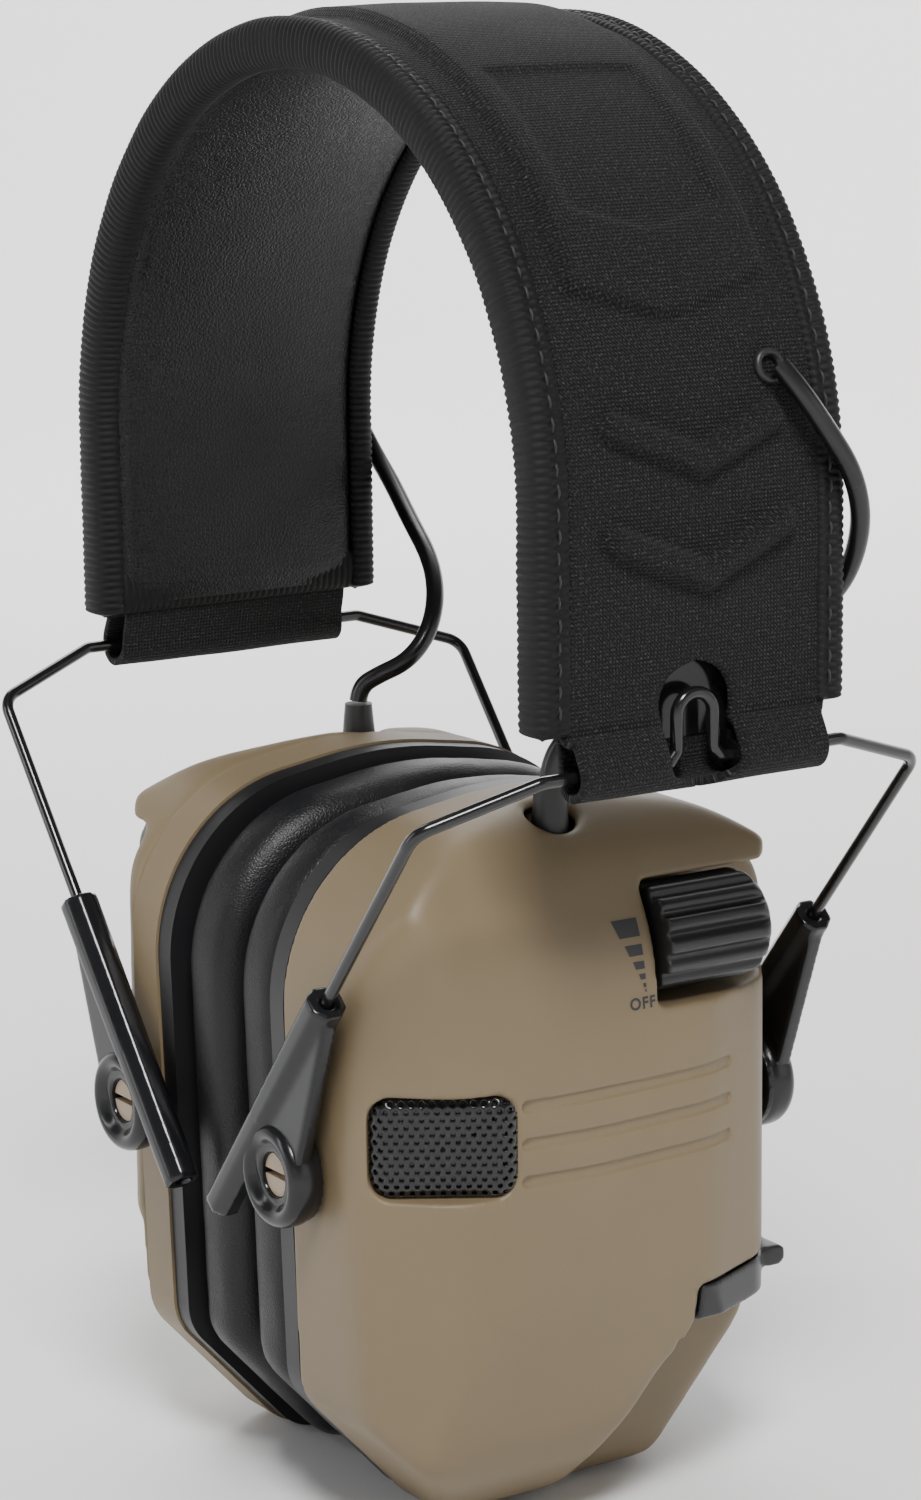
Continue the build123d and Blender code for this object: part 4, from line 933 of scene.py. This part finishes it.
@dataclass
class CupDressing:
    """What the shells carry: the soft cushion and the marks beside the dial."""

    shelf: FinishShelf
    cushion_front: float = 1.3
    cushion_back: float = 14.1
    outline: tuple[tuple[float, float, float], ...] = (
        (0, 50.5, 60.0), (39.2, 44.5, 26.0), (37.0, -34.5, 9.0), (18.5, -55.0, 9.0),
        (-18.5, -55.0, 9.0), (-37.0, -34.5, 9.0), (-39.2, 44.5, 26.0),
    )
    ear: tuple[float, float, float] = (42.0, 68.0, 19.5)
    groove_middle: tuple[float, float] = (1.2, 6.0)
    groove_half_length: float = 17.9
    groove_pitch: float = 5.4
    shells: dict[Side, bpy.types.Object] = field(default_factory=dict)
    crisp: tuple[tuple[float, float, float, float, float], ...] = (
        (-19.0, 21.5, -2.0, 14.0, 0.4), (5.0, 30.0, 20.5, 40.5, 0.08), (-42.0, -17.5, -3.5, 16.0, 0.05),
        (6.0, 42.0, -29.0, -19.0, 0.12),
    )

    def cushion(self, side: Side) -> bpy.types.Object:
        """The ear cushion: a rounded ring between the cup's outline and the ear opening.

        A point runs round the ring by one parameter and round the ring's section by the other; the section is
        a superellipse, drawn in near the plate, with a gentle unevenness where the skin gathers.
        """
        count, around = 320, 40
        outer = rounded_outline(list(self.outline), count)
        half_y, half_z, radius = self.ear[0] / 2, self.ear[1] / 2, self.ear[2]
        hole = rounded_outline(four_corners(half_y, half_z, radius), count)
        shift = int(np.argmin(np.linalg.norm(hole - outer[0] * 0.65, axis=1)))
        hole = np.roll(hole, -shift, axis=0)
        tangent = np.roll(outer, -1, axis=0) - np.roll(outer, 1, axis=0)
        tangent = tangent / np.linalg.norm(tangent, axis=1, keepdims=True)
        inward = np.stack([tangent[:, 1], -tangent[:, 0]], -1)
        inward = inward * np.sign(np.sum(inward * -outer, axis=1))[:, None]
        edge = outer + inward * 1.4
        turn = np.linspace(0, 2 * np.pi, around, endpoint=False)
        power = 2.0 / 2.7
        swing = np.sign(np.cos(turn)) * np.abs(np.cos(turn)) ** power
        rise = np.sign(np.sin(turn)) * np.abs(np.sin(turn)) ** power
        middle, half = (edge + hole) / 2, (edge - hole) / 2
        along = np.cumsum(np.linalg.norm(outer - np.roll(outer, 1, axis=0), axis=1))
        waist = 1 - 0.05 * smooth_step(rise, 0.3, 1.0)
        plane = middle[:, None, :] + half[:, None, :] * (swing * waist)[None, :, None]
        depth = (self.cushion_back - self.cushion_front) / 2
        gather = 0.10 * ripple(along[:, None], 30 * np.sin(turn)[None, :], 3, 10, 9.0)
        sag = 0.35 * ripple(along[:, None], 6 * np.cos(turn)[None, :], 8, 7, 60.0)
        x = self.cushion_front + depth + depth * rise[None, :] + (gather + sag) * (rise < 0.2)[None, :]
        x = np.clip(x, 0.75, None)
        plane = plane - inward[:, None, :] * (gather * (swing > 0)[None, :])[..., None] * 1.2
        spot = np.stack([x, plane[..., 0], plane[..., 1]], -1).reshape(-1, 3)
        if side is Side.LEFT:
            spot = spot * np.array([-1, -1, 1])
        faces = grid_faces(count, around, wrap_rows=True, wrap_columns=True)
        piece = mesh_object(f"cushion_skin_{side.word}", spot, faces)
        recalculate(piece)
        self.shelf.dress(piece, "cushion_skin")
        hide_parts(f"ear_cushion_{side.word}")
        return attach(piece, f"cup_{side.word}")

    def softness(self, side: Side, spots: np.ndarray) -> np.ndarray:
        """How far the shell's creases may soften at each point: less near its pressed details and its rim.

        Args:
            side: the cup.
            spots: (n, 3) points in millimetres.

        Returns:
            (n,) weights, each the least of the distances to the crisp boxes in units of 3.5 mm, eased.
        """
        local = spots * np.array([side.value, side.value, 1])
        weight = 0.06 + 0.94 * smooth_step(local[:, 0], 21.0, 27.0)
        for low_y, high_y, low_z, high_z, least in self.crisp:
            apart_y = np.maximum(np.maximum(low_y - local[:, 1], local[:, 1] - high_y), 0)
            apart_z = np.maximum(np.maximum(low_z - local[:, 2], local[:, 2] - high_z), 0)
            weight = np.minimum(weight, least + (1 - least) * smooth_step(np.hypot(apart_y, apart_z), 0.3, 4.5))
        return weight

    def groove_depth(self, side: Side, spots: np.ndarray) -> tuple[np.ndarray, np.ndarray]:
        """The three pressed bars beside the grille.

        Args:
            side: the cup.
            spots: (n, 3) points in millimetres.

        Returns:
            (n,) distances from the nearest bar's middle line, and (n,) depths in millimetres: flat near
            the middle line, then eased to nothing at the bar's edge.
        """
        local = spots * np.array([side.value, side.value, 1])
        past_end = np.maximum(np.abs(local[:, 1] - self.groove_middle[0]) - self.groove_half_length, 0)
        rows = self.groove_middle[1] + self.groove_pitch * np.array([-1.0, 0.0, 1.0])
        apart = np.hypot(past_end[:, None], local[:, 2:] - rows[None, :]).min(axis=1)
        apart = np.where(local[:, 0] > 38.0, apart, 99.0)
        return apart, 0.3 * (1 - smooth_step(apart, 0.62, 0.92))

    def carve(self, side: Side, piece: bpy.types.Object) -> None:
        """Presses the bars into the shell, on a mesh made finer round them first."""
        work = bmesh.new()
        work.from_mesh(piece.data)
        apart, _ = self.groove_depth(side, points_of(piece))
        near = apart < 1.5
        edges = [edge for edge in work.edges if near[edge.verts[0].index] and near[edge.verts[1].index]]
        bmesh.ops.subdivide_edges(work, edges=edges, cuts=2, use_grid_fill=True)
        work.to_mesh(piece.data)
        work.free()
        spots = points_of(piece)
        _, depth = self.groove_depth(side, spots)
        normals = np.empty(len(piece.data.vertices) * 3, np.float32)
        piece.data.vertices.foreach_get("normal", normals)
        spots = spots - normals.reshape(-1, 3) * depth[:, None]
        piece.data.vertices.foreach_set("co", (spots * MM).astype(np.float32).ravel())
        piece.data.update()

    def shell(self, side: Side) -> bpy.types.Object:
        """The hard outer cap with its moulded creases softened and its three bars pressed in."""
        node = f"outer_cap_{side.word}"
        piece = soft_copy(
            self.shelf.nodes[node],
            f"cap_skin_{side.word}",
            voxel=0.46,
            rounds=150,
            softness=lambda spots: self.softness(side, spots),
            keep=0.5,
        )
        self.carve(side, piece)
        self.shelf.dress(piece, "shell_plastic")
        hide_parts(node)
        self.shells[side] = piece
        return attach(piece, f"cup_{side.word}")

    def grille(self, side: Side) -> bpy.types.Object:
        """The perforated microphone cover: hexagonal cells with round holes, on a panel with rolled edges.

        A cell's points lie at twelve equal turns, on its hexagon, on the hole and at the hole's foot. A point
        past the panel's rounded outline is brought back to it. The panel is flat in the middle and eases down
        to the ledge over the last 2.4 mm, and a dark backing follows it underneath.
        """
        turn = np.radians(33.0)
        outward = np.array([np.cos(turn), -np.sin(turn), 0])
        level = np.array([np.sin(turn), np.cos(turn), 0])
        node = self.shelf.nodes[f"microphone_grille_{side.word}"]
        spots = points_of(node) * np.array([side.value, side.value, 1])
        low_u, high_u = (spots @ level).min(), (spots @ level).max()
        low_z, high_z = spots[:, 2].min(), spots[:, 2].max()
        front = (spots @ outward).max()
        half = np.array([(high_u - low_u) / 2, (high_z - low_z) / 2]) + 0.1
        corner, pitch, row = 3.4, 1.42, 1.06

        def settle(flat: np.ndarray) -> tuple[np.ndarray, np.ndarray]:
            """Points brought inside the rounded outline, and how deep inside it they are."""
            beyond = np.abs(flat) - (half - corner)
            past = np.maximum(beyond, 0)
            reach = np.linalg.norm(past, axis=-1)
            depth = corner - np.where(reach > 0, reach, beyond.max(axis=-1))
            shrink = np.where(reach > corner, corner / np.maximum(reach, 1e-6), 1.0)
            inner = np.sign(flat) * (np.minimum(np.abs(flat), half - corner) + past * shrink[..., None])
            return inner, np.maximum(depth, 0)

        def height(depth: np.ndarray) -> np.ndarray:
            """Height of the panel over the plate's front, by the depth inside its outline."""
            return -0.75 + 1.75 * np.sqrt(1 - (1 - np.clip(depth / 2.4, 0, 1)) ** 2)

        u, z = np.meshgrid(np.arange(-9, 10) * pitch, np.arange(-9, 10) * row, indexing="ij")
        u = u + 0.5 * pitch * (np.round(z / row) % 2)
        centres = np.stack([u.ravel(), z.ravel()], -1)
        beyond = np.linalg.norm(np.maximum(np.abs(centres) - (half - corner), 0), axis=1)
        centres = centres[beyond < corner + 0.35]
        angle = np.radians(30) + np.linspace(0, 2 * np.pi, 12, endpoint=False)
        rim = np.where(np.arange(12) % 2 == 0, pitch / np.sqrt(3), pitch / 2)
        radii = np.stack([rim, np.full(12, 0.40), np.full(12, 0.36), np.full(12, 0.34)])
        stretch = np.array([row / (pitch * np.sqrt(3) / 2), 1, 1, 1])
        drop = np.array([0.0, 0.0, 0.12, 0.6])
        ring_u, ring_z = radii * np.cos(angle), radii * stretch[:, None] * np.sin(angle)
        cells, depth = settle(centres[:, None, None, :] + np.stack([ring_u, ring_z], -1)[None])
        out = height(depth) - drop[None, :, None]
        cells = np.concatenate([cells, out[..., None]], -1).reshape(-1, 3)
        ring = grid_faces(4, 12, wrap_columns=True)
        faces = [(ring[None] + 48 * np.arange(len(centres))[:, None, None]).reshape(-1, 4)]
        outline = rounded_outline(four_corners(half[0], half[1], corner), 96)
        shares = np.array([1.0, 1.0, 0.97, 0.93, 0.88, 0.8, 0.7, 0.4, 0.02])
        backing, depth = settle(outline[None] * shares[:, None, None])
        below = height(depth) - 0.62
        below[0] = -0.75
        backing = np.concatenate([backing, below[..., None]], -1).reshape(-1, 3)
        faces.append(grid_faces(len(shares), 96, wrap_columns=True) + len(cells))
        flat = np.vstack([cells, backing])
        centre_u, centre_z = (low_u + high_u) / 2, (low_z + high_z) / 2
        across = level * (centre_u + flat[:, :1])
        spot = across + outward * (front + flat[:, 2:]) + np.array([0, 0, 1]) * (centre_z + flat[:, 1:2])
        spot = spot * np.array([side.value, side.value, 1])
        piece = mesh_object(f"grille_mesh_{side.word}", spot, np.vstack(faces))
        weld(piece, 0.03 * MM)
        self.shelf.dress(piece, "grille_metal")
        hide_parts(node.name)
        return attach(piece, f"cup_{side.word}")

    def cling(self, piece: bpy.types.Object, side: Side, gap: float) -> bpy.types.Object:
        """Wraps a flat mark onto the cup's outer face by projecting it along X, gap metres proud."""
        wrap = piece.modifiers.new("cling", "SHRINKWRAP")
        wrap.target = self.shells[side]
        wrap.wrap_method = "PROJECT"
        wrap.use_project_x, wrap.use_project_y, wrap.use_project_z = True, False, False
        wrap.use_negative_direction, wrap.use_positive_direction = True, True
        wrap.offset = gap
        freeze(piece)
        self.shelf.dress(piece, "dial_print")
        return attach(piece, f"cup_{side.word}")

    def level_bars(self, side: Side) -> bpy.types.Object:
        """The graduated marks beside the dial: bars that shorten downwards, level along one upright edge."""
        tops = 34.5 - np.array([0.0, 3.5, 5.8, 7.55, 8.9, 9.75])
        heights = np.array([2.45, 1.5, 1.1, 0.8, 0.6, 0.4])
        widths = np.array([4.3, 2.9, 1.9, 1.1, 0.55, 0.3])
        share = np.linspace(0, 1, 9)
        down, over = np.meshgrid(share, share, indexing="ij")
        across = 3.9 - (1 - over[None]) * widths[:, None, None] * (1 - 0.2 * down[None])
        z = tops[:, None, None] - heights[:, None, None] * down[None]
        z = np.broadcast_to(z, across.shape)
        spot = np.stack([np.full(z.shape, 60.0), across, z], -1).reshape(-1, 3)
        if side is Side.LEFT:
            spot = spot * np.array([-1, -1, 1])
        one = grid_faces(9, 9)
        faces = (one[None] + 81 * np.arange(len(tops))[:, None, None]).reshape(-1, 4)
        piece = mesh_object(f"level_bars_{side.word}", spot, faces)
        return self.cling(piece, side, 0.05 * MM)

    def off_mark(self, side: Side) -> bpy.types.Object:
        """The word OFF under the bars, as a flat mesh wrapped onto the face."""
        curve = bpy.data.curves.new("off", "FONT")
        curve.body = "OFF"
        curve.size = 2.3 * MM
        curve.offset = 0.07 * MM
        curve.align_x = "CENTER"
        curve.space_character = 1.15
        word = bpy.data.objects.new("off_flat", curve)
        bpy.context.scene.collection.objects.link(word)
        bpy.context.view_layer.update()
        mesh = bpy.data.meshes.new_from_object(word.evaluated_get(bpy.context.evaluated_depsgraph_get()))
        bpy.data.objects.remove(word)
        turn = Matrix(((0, 0, 1, 0.060), (1, 0, 0, 0.0031), (0, 1, 0, 0.0221), (0, 0, 0, 1)))
        mesh.transform(turn if side is Side.RIGHT else Matrix.Rotation(np.pi, 4, "Z") @ turn)
        piece = bpy.data.objects.new(f"off_mark_{side.word}", mesh)
        bpy.context.scene.collection.objects.link(piece)
        return self.cling(piece, side, 0.05 * MM)

    def build(self) -> None:
        """Makes both cups' cushions and marks."""
        for side in Side:
            makers = (self.shell, self.cushion, self.grille, self.level_bars, self.off_mark)
            pieces = [maker(side) for maker in makers]
            log.info("%s cup: %s", side.word, ", ".join(piece.name for piece in pieces))


def points_of(piece: bpy.types.Object) -> np.ndarray:
    """A mesh's points in millimetres, as an (n, 3) array."""
    spots = np.empty(len(piece.data.vertices) * 3, np.float32)
    piece.data.vertices.foreach_get("co", spots)
    return spots.reshape(-1, 3).astype(float) / MM


def soft_copy(
    source: bpy.types.Object, name: str, voxel: float, rounds: int, softness: object = None, keep: float = 1.0
) -> bpy.types.Object:
    """A frame node's shape as one even mesh whose creases are rounded by averaging neighbours.

    Args:
        source: the frame node; it isn't changed.
        name: the new piece's name.
        voxel: the even mesh's cell, in millimetres.
        rounds: how many times the points are averaged.
        softness: a function from points to weights, or None for the same everywhere.
        keep: the share of faces kept, fewest where the shape is flat.

    Returns:
        The new piece.
    """
    mesh = source.data.copy()
    mesh.name = name
    piece = bpy.data.objects.new(name, mesh)
    bpy.context.scene.collection.objects.link(piece)
    weld(piece, 0.002 * MM)
    even = piece.modifiers.new("even", "REMESH")
    even.mode = "VOXEL"
    even.voxel_size = voxel * MM
    freeze(piece)
    smooth = piece.modifiers.new("soften", "SMOOTH")
    smooth.factor = 0.5
    smooth.iterations = rounds
    if softness is not None:
        weights = softness(points_of(piece))
        group = piece.vertex_groups.new(name="soft")
        levels = np.round(weights, 2)
        for level in np.unique(levels):
            group.add(np.nonzero(levels == level)[0].tolist(), float(level), "REPLACE")
        smooth.vertex_group = "soft"
    freeze(piece)
    piece.vertex_groups.clear()
    if keep < 1:
        thin = piece.modifiers.new("thin", "DECIMATE")
        thin.ratio = keep
        freeze(piece)
    piece.data.polygons.foreach_set("use_smooth", np.ones(len(piece.data.polygons), bool))
    return piece


@dataclass
class HardParts:
    """The hard moulded pieces whose edges are rounded: sliders, their rings, knobs and the battery door."""

    shelf: FinishShelf
    ring_x: float = 22.0

    def moulded(self, node: str, name: str, body: str, voxel: float, rounds: int) -> bpy.types.Object:
        """A rounded copy of a frame node that replaces it."""
        piece = soft_copy(self.shelf.nodes[node], name, voxel, rounds)
        self.shelf.dress(piece, self.shelf.slots[node])
        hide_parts(node)
        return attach(piece, body)

    def ring(self, side: Side, place: str) -> bpy.types.Object:
        """The raised rim round a pivot: a profile of (radius, distance out) turned about the pivot's axis."""
        node = f"slider_{place}_{side.word}"
        low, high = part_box(node)
        face = 1 if low[1] + high[1] > 0 else -1
        profile = np.array(
            [(3.35, 40.8), (3.35, 41.9), (3.7, 42.5), (4.5, 42.9), (5.2, 43.7), (6.1, 44.1),
             (7.0, 43.7), (7.55, 42.7), (7.6, 41.4), (7.5, 40.2), (7.0, 39.4)]
        )
        profile = soften(resample(profile, 34), 5)
        turn = np.linspace(0, 2 * np.pi, 72, endpoint=False)
        x = side.value * self.ring_x + profile[None, :, 0] * np.cos(turn)[:, None]
        z = profile[None, :, 0] * np.sin(turn)[:, None]
        y = np.broadcast_to(face * profile[None, :, 1], x.shape)
        faces = grid_faces(72, len(profile), wrap_rows=True)
        piece = mesh_object(f"ring_rim_{place}_{side.word}", np.stack([x, y, z], -1).reshape(-1, 3), faces)
        recalculate(piece)
        self.shelf.dress(piece, "slider_plastic")
        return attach(piece, f"slider_{place}_{side.word}")

    def build(self) -> None:
        """Makes every rounded hard part."""
        for side in Side:
            for place in ("front", "rear"):
                node = f"slider_{place}_{side.word}"
                self.moulded(node, f"{node}_skin", node, 0.4, 3)
                self.ring(side, place)
            self.moulded(f"volume_knob_{side.word}", f"knob_skin_{side.word}", f"knob_{side.word}", 0.34, 3)
        self.moulded("battery_door", "door_skin", "battery_door", 0.4, 6)
        log.info("hard parts rounded")


def recalculate(piece: bpy.types.Object) -> None:
    """Turns a closed mesh's faces outwards."""
    work = bmesh.new()
    work.from_mesh(piece.data)
    bmesh.ops.recalc_face_normals(work, faces=work.faces)
    work.to_mesh(piece.data)
    work.free()


# ---------------------------------------------------------------- cables


@dataclass
class CupCable:
    """One short cable from a grommet in the band down into its cup."""

    side: Side
    points: tuple[tuple[float, float, float], ...]
    length: float
    diameter: float = 2.8

    def lip(self, shelf: FinishShelf) -> bpy.types.Object:
        """The rubber lip where the cable leaves the band: a small ring turned about the band's normal."""
        rows = np.linspace(0, 2 * np.pi, 40, endpoint=False)
        columns = np.linspace(0, 2 * np.pi, 14, endpoint=False)
        turn, ring = np.meshgrid(rows, columns, indexing="ij")
        reach = 1.85 + 0.6 * np.cos(ring)
        rise = 17.5 / 62.7
        outward = np.array([self.side.value * np.sqrt(1 - rise**2), 0, rise])
        upright = np.array([-self.side.value * rise, 0, np.sqrt(1 - rise**2)])
        seat = np.array([0, 13.5, 94.5]) + outward * 63.35
        around = np.cos(turn)[..., None] * np.array([0, 1, 0]) + np.sin(turn)[..., None] * upright
        spot = seat + reach[..., None] * around
        spot = spot + (0.75 * np.sin(ring))[..., None] * outward
        faces = grid_faces(40, 14, wrap_rows=True, wrap_columns=True)
        piece = mesh_object(f"cable_lip_{self.side.word}", spot.reshape(-1, 3), faces)
        recalculate(piece)
        shelf.dress(piece, "grommet_rubber")
        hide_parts(f"cable_grommet_{self.side.word}")
        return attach(piece, f"arm_{self.side.word}")

    def build(self, shelf: FinishShelf) -> bpy.types.Object:
        """Lays the cable as a smooth NURBS spline through its route's points.

        Args:
            shelf: the finishes.

        Returns:
            The cable.
        """
        curve = bpy.data.curves.new(f"cable_{self.side.word}", "CURVE")
        curve.dimensions = "3D"
        curve.bevel_depth = self.diameter * MM / 2
        curve.bevel_resolution = 5
        curve.use_fill_caps = True
        spline = curve.splines.new("NURBS")
        spline.points.add(len(self.points) - 1)
        values = np.hstack([np.array(self.points) * MM, np.ones((len(self.points), 1))])
        spline.points.foreach_set("co", values.astype(np.float32).ravel())
        spline.order_u = 3
        spline.use_endpoint_u = True
        spline.resolution_u = 12
        piece = bpy.data.objects.new(f"cable_{self.side.word}", curve)
        bpy.context.scene.collection.objects.link(piece)
        shelf.dress(piece, "cable_jacket")
        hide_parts(f"cup_cable_{self.side.word}")
        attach(piece, f"arm_{self.side.word}")
        self.lip(shelf)
        log.info("%s cable laid", self.side.word)
        return piece


RIGHT_CABLE = (
    (62.8, 13.8, 112.4), (64.9, 15.6, 109.3), (65.9, 19.2, 104.0), (65.9, 23.8, 98.0),
    (64.2, 27.0, 91.5), (61.0, 28.4, 85.0), (57.0, 28.2, 79.4), (51.5, 25.0, 74.5),
    (44.5, 18.5, 70.0), (38.0, 9.5, 65.5), (33.8, 1.8, 60.5), (32.1, -2.2, 56.6), (32.0, -2.5, 53.1),
)
LEFT_CABLE = (
    (-62.8, 13.8, 112.4), (-64.9, 15.6, 109.3), (-65.9, 19.2, 104.0), (-65.9, 23.8, 98.0),
    (-64.4, 26.8, 92.0), (-60.8, 27.6, 87.0), (-54.5, 26.8, 83.0), (-45.5, 24.4, 78.2),
    (-35.5, 21.8, 73.4), (-29.0, 18.6, 68.6), (-26.0, 15.0, 63.5), (-26.4, 11.4, 59.6),
    (-29.4, 7.8, 57.4), (-31.3, 5.8, 55.6), (-31.4, 5.5, 53.4),
)


# ---------------------------------------------------------------- studio


@dataclass
class Studio:
    """Floor, light and camera."""

    shelf: FinishShelf
    eye: tuple[float, float, float] = (474.1, -306.9, 168.2)
    sight: tuple[float, float, float] = (-0.8192, 0.5366, -0.2024)
    upward: tuple[float, float, float] = (-0.1626, 0.1212, 0.9792)
    lens: float = 94.18

    def camera(self) -> None:
        """Sets the camera: its -Z along the sight line and its Y along upward."""
        sight = Vector(self.sight).normalized()
        right = sight.cross(Vector(self.upward)).normalized()
        upward = right.cross(sight)
        data = bpy.data.cameras.new("camera")
        data.sensor_fit = "VERTICAL"
        data.sensor_height = 36.0
        data.lens = self.lens
        data.clip_end = 20.0
        camera = bpy.data.objects.new("camera", data)
        turn = Matrix((right, upward, -sight)).transposed().to_4x4()
        camera.matrix_world = Matrix.Translation(Vector(self.eye) * MM) @ turn
        bpy.context.scene.collection.objects.link(camera)
        bpy.context.scene.camera = camera

    def lamp(
        self,
        name: str,
        place: tuple[float, float, float],
        size: tuple[float, float],
        power: float,
        target: tuple[float, float, float] = (0.0, 0.0, 0.05),
    ) -> None:
        """Adds a rectangular soft light of a size in metres at a place, aimed at target."""
        data = bpy.data.lights.new(name, "AREA")
        data.shape = "RECTANGLE"
        data.size, data.size_y = size
        data.energy = power
        light = bpy.data.objects.new(name, data)
        aim = Vector(target) - Vector(place)
        light.rotation_euler = aim.to_track_quat("-Z", "Y").to_euler()
        light.location = place
        bpy.context.scene.collection.objects.link(light)

    def floor(self, height: float) -> None:
        """A pale sheet under the object that sweeps up far behind it: a plane with a raised rim."""
        share = np.linspace(-1, 1, 41)
        x, y = np.meshgrid(share * 3000, share * 3000, indexing="ij")
        away = np.hypot(x, y)
        z = height + 1500 * smooth_step(away, 1300, 3000)
        spot = np.stack([x, y, z], -1).reshape(-1, 3)
        sheet = mesh_object("floor", spot, grid_faces(41, 41)[:, ::-1])
        sheet.data.materials.append(self.shelf.materials["floor_paper"])
        sheet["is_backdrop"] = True

    def build(self, height: float) -> None:
        """Sets everything up, with the floor at height millimetres."""
        self.camera()
        self.floor(height)
        self.lamp("key", (0.8, -0.45, 1.35), (0.45, 0.45), 30.0)
        self.lamp("fill", (1.25, 0.75, 0.5), (0.7, 0.7), 1.2)
        self.lamp("rear", (-0.9, 0.35, 0.9), (0.9, 0.9), 9.0)
        self.lamp("left", (-0.45, -1.1, 0.5), (0.2, 0.9), 3.0)
        self.lamp("backdrop", (-0.9, 0.9, 1.6), (1.5, 1.5), 60.0, (-2.0, 1.4, 0.5))
        world = bpy.data.worlds.new("studio")
        world.use_nodes = True
        world.node_tree.nodes["Background"].inputs[0].default_value = (1, 1, 1, 1)
        world.node_tree.nodes["Background"].inputs[1].default_value = 0.14
        bpy.context.scene.world = world


def main() -> None:
    """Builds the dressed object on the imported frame."""
    logging.basicConfig(level=logging.INFO, format="%(message)s")
    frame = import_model()
    frame_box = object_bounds()
    slots = {part["node"]: part["material_slot"] for part in frame["record"]["subparts"]}
    shelf = FinishShelf(frame["nodes"], slots)
    shelf.build()
    Headband(shelf).build()
    CupDressing(shelf).build()
    HardParts(shelf).build()
    CupCable(Side.RIGHT, RIGHT_CABLE, 89.3).build(shelf)
    CupCable(Side.LEFT, LEFT_CABLE, 91.5).build(shelf)
    Studio(shelf).build(frame_box[0][2] / MM - 0.1)


if __name__ == "__main__":
    main()
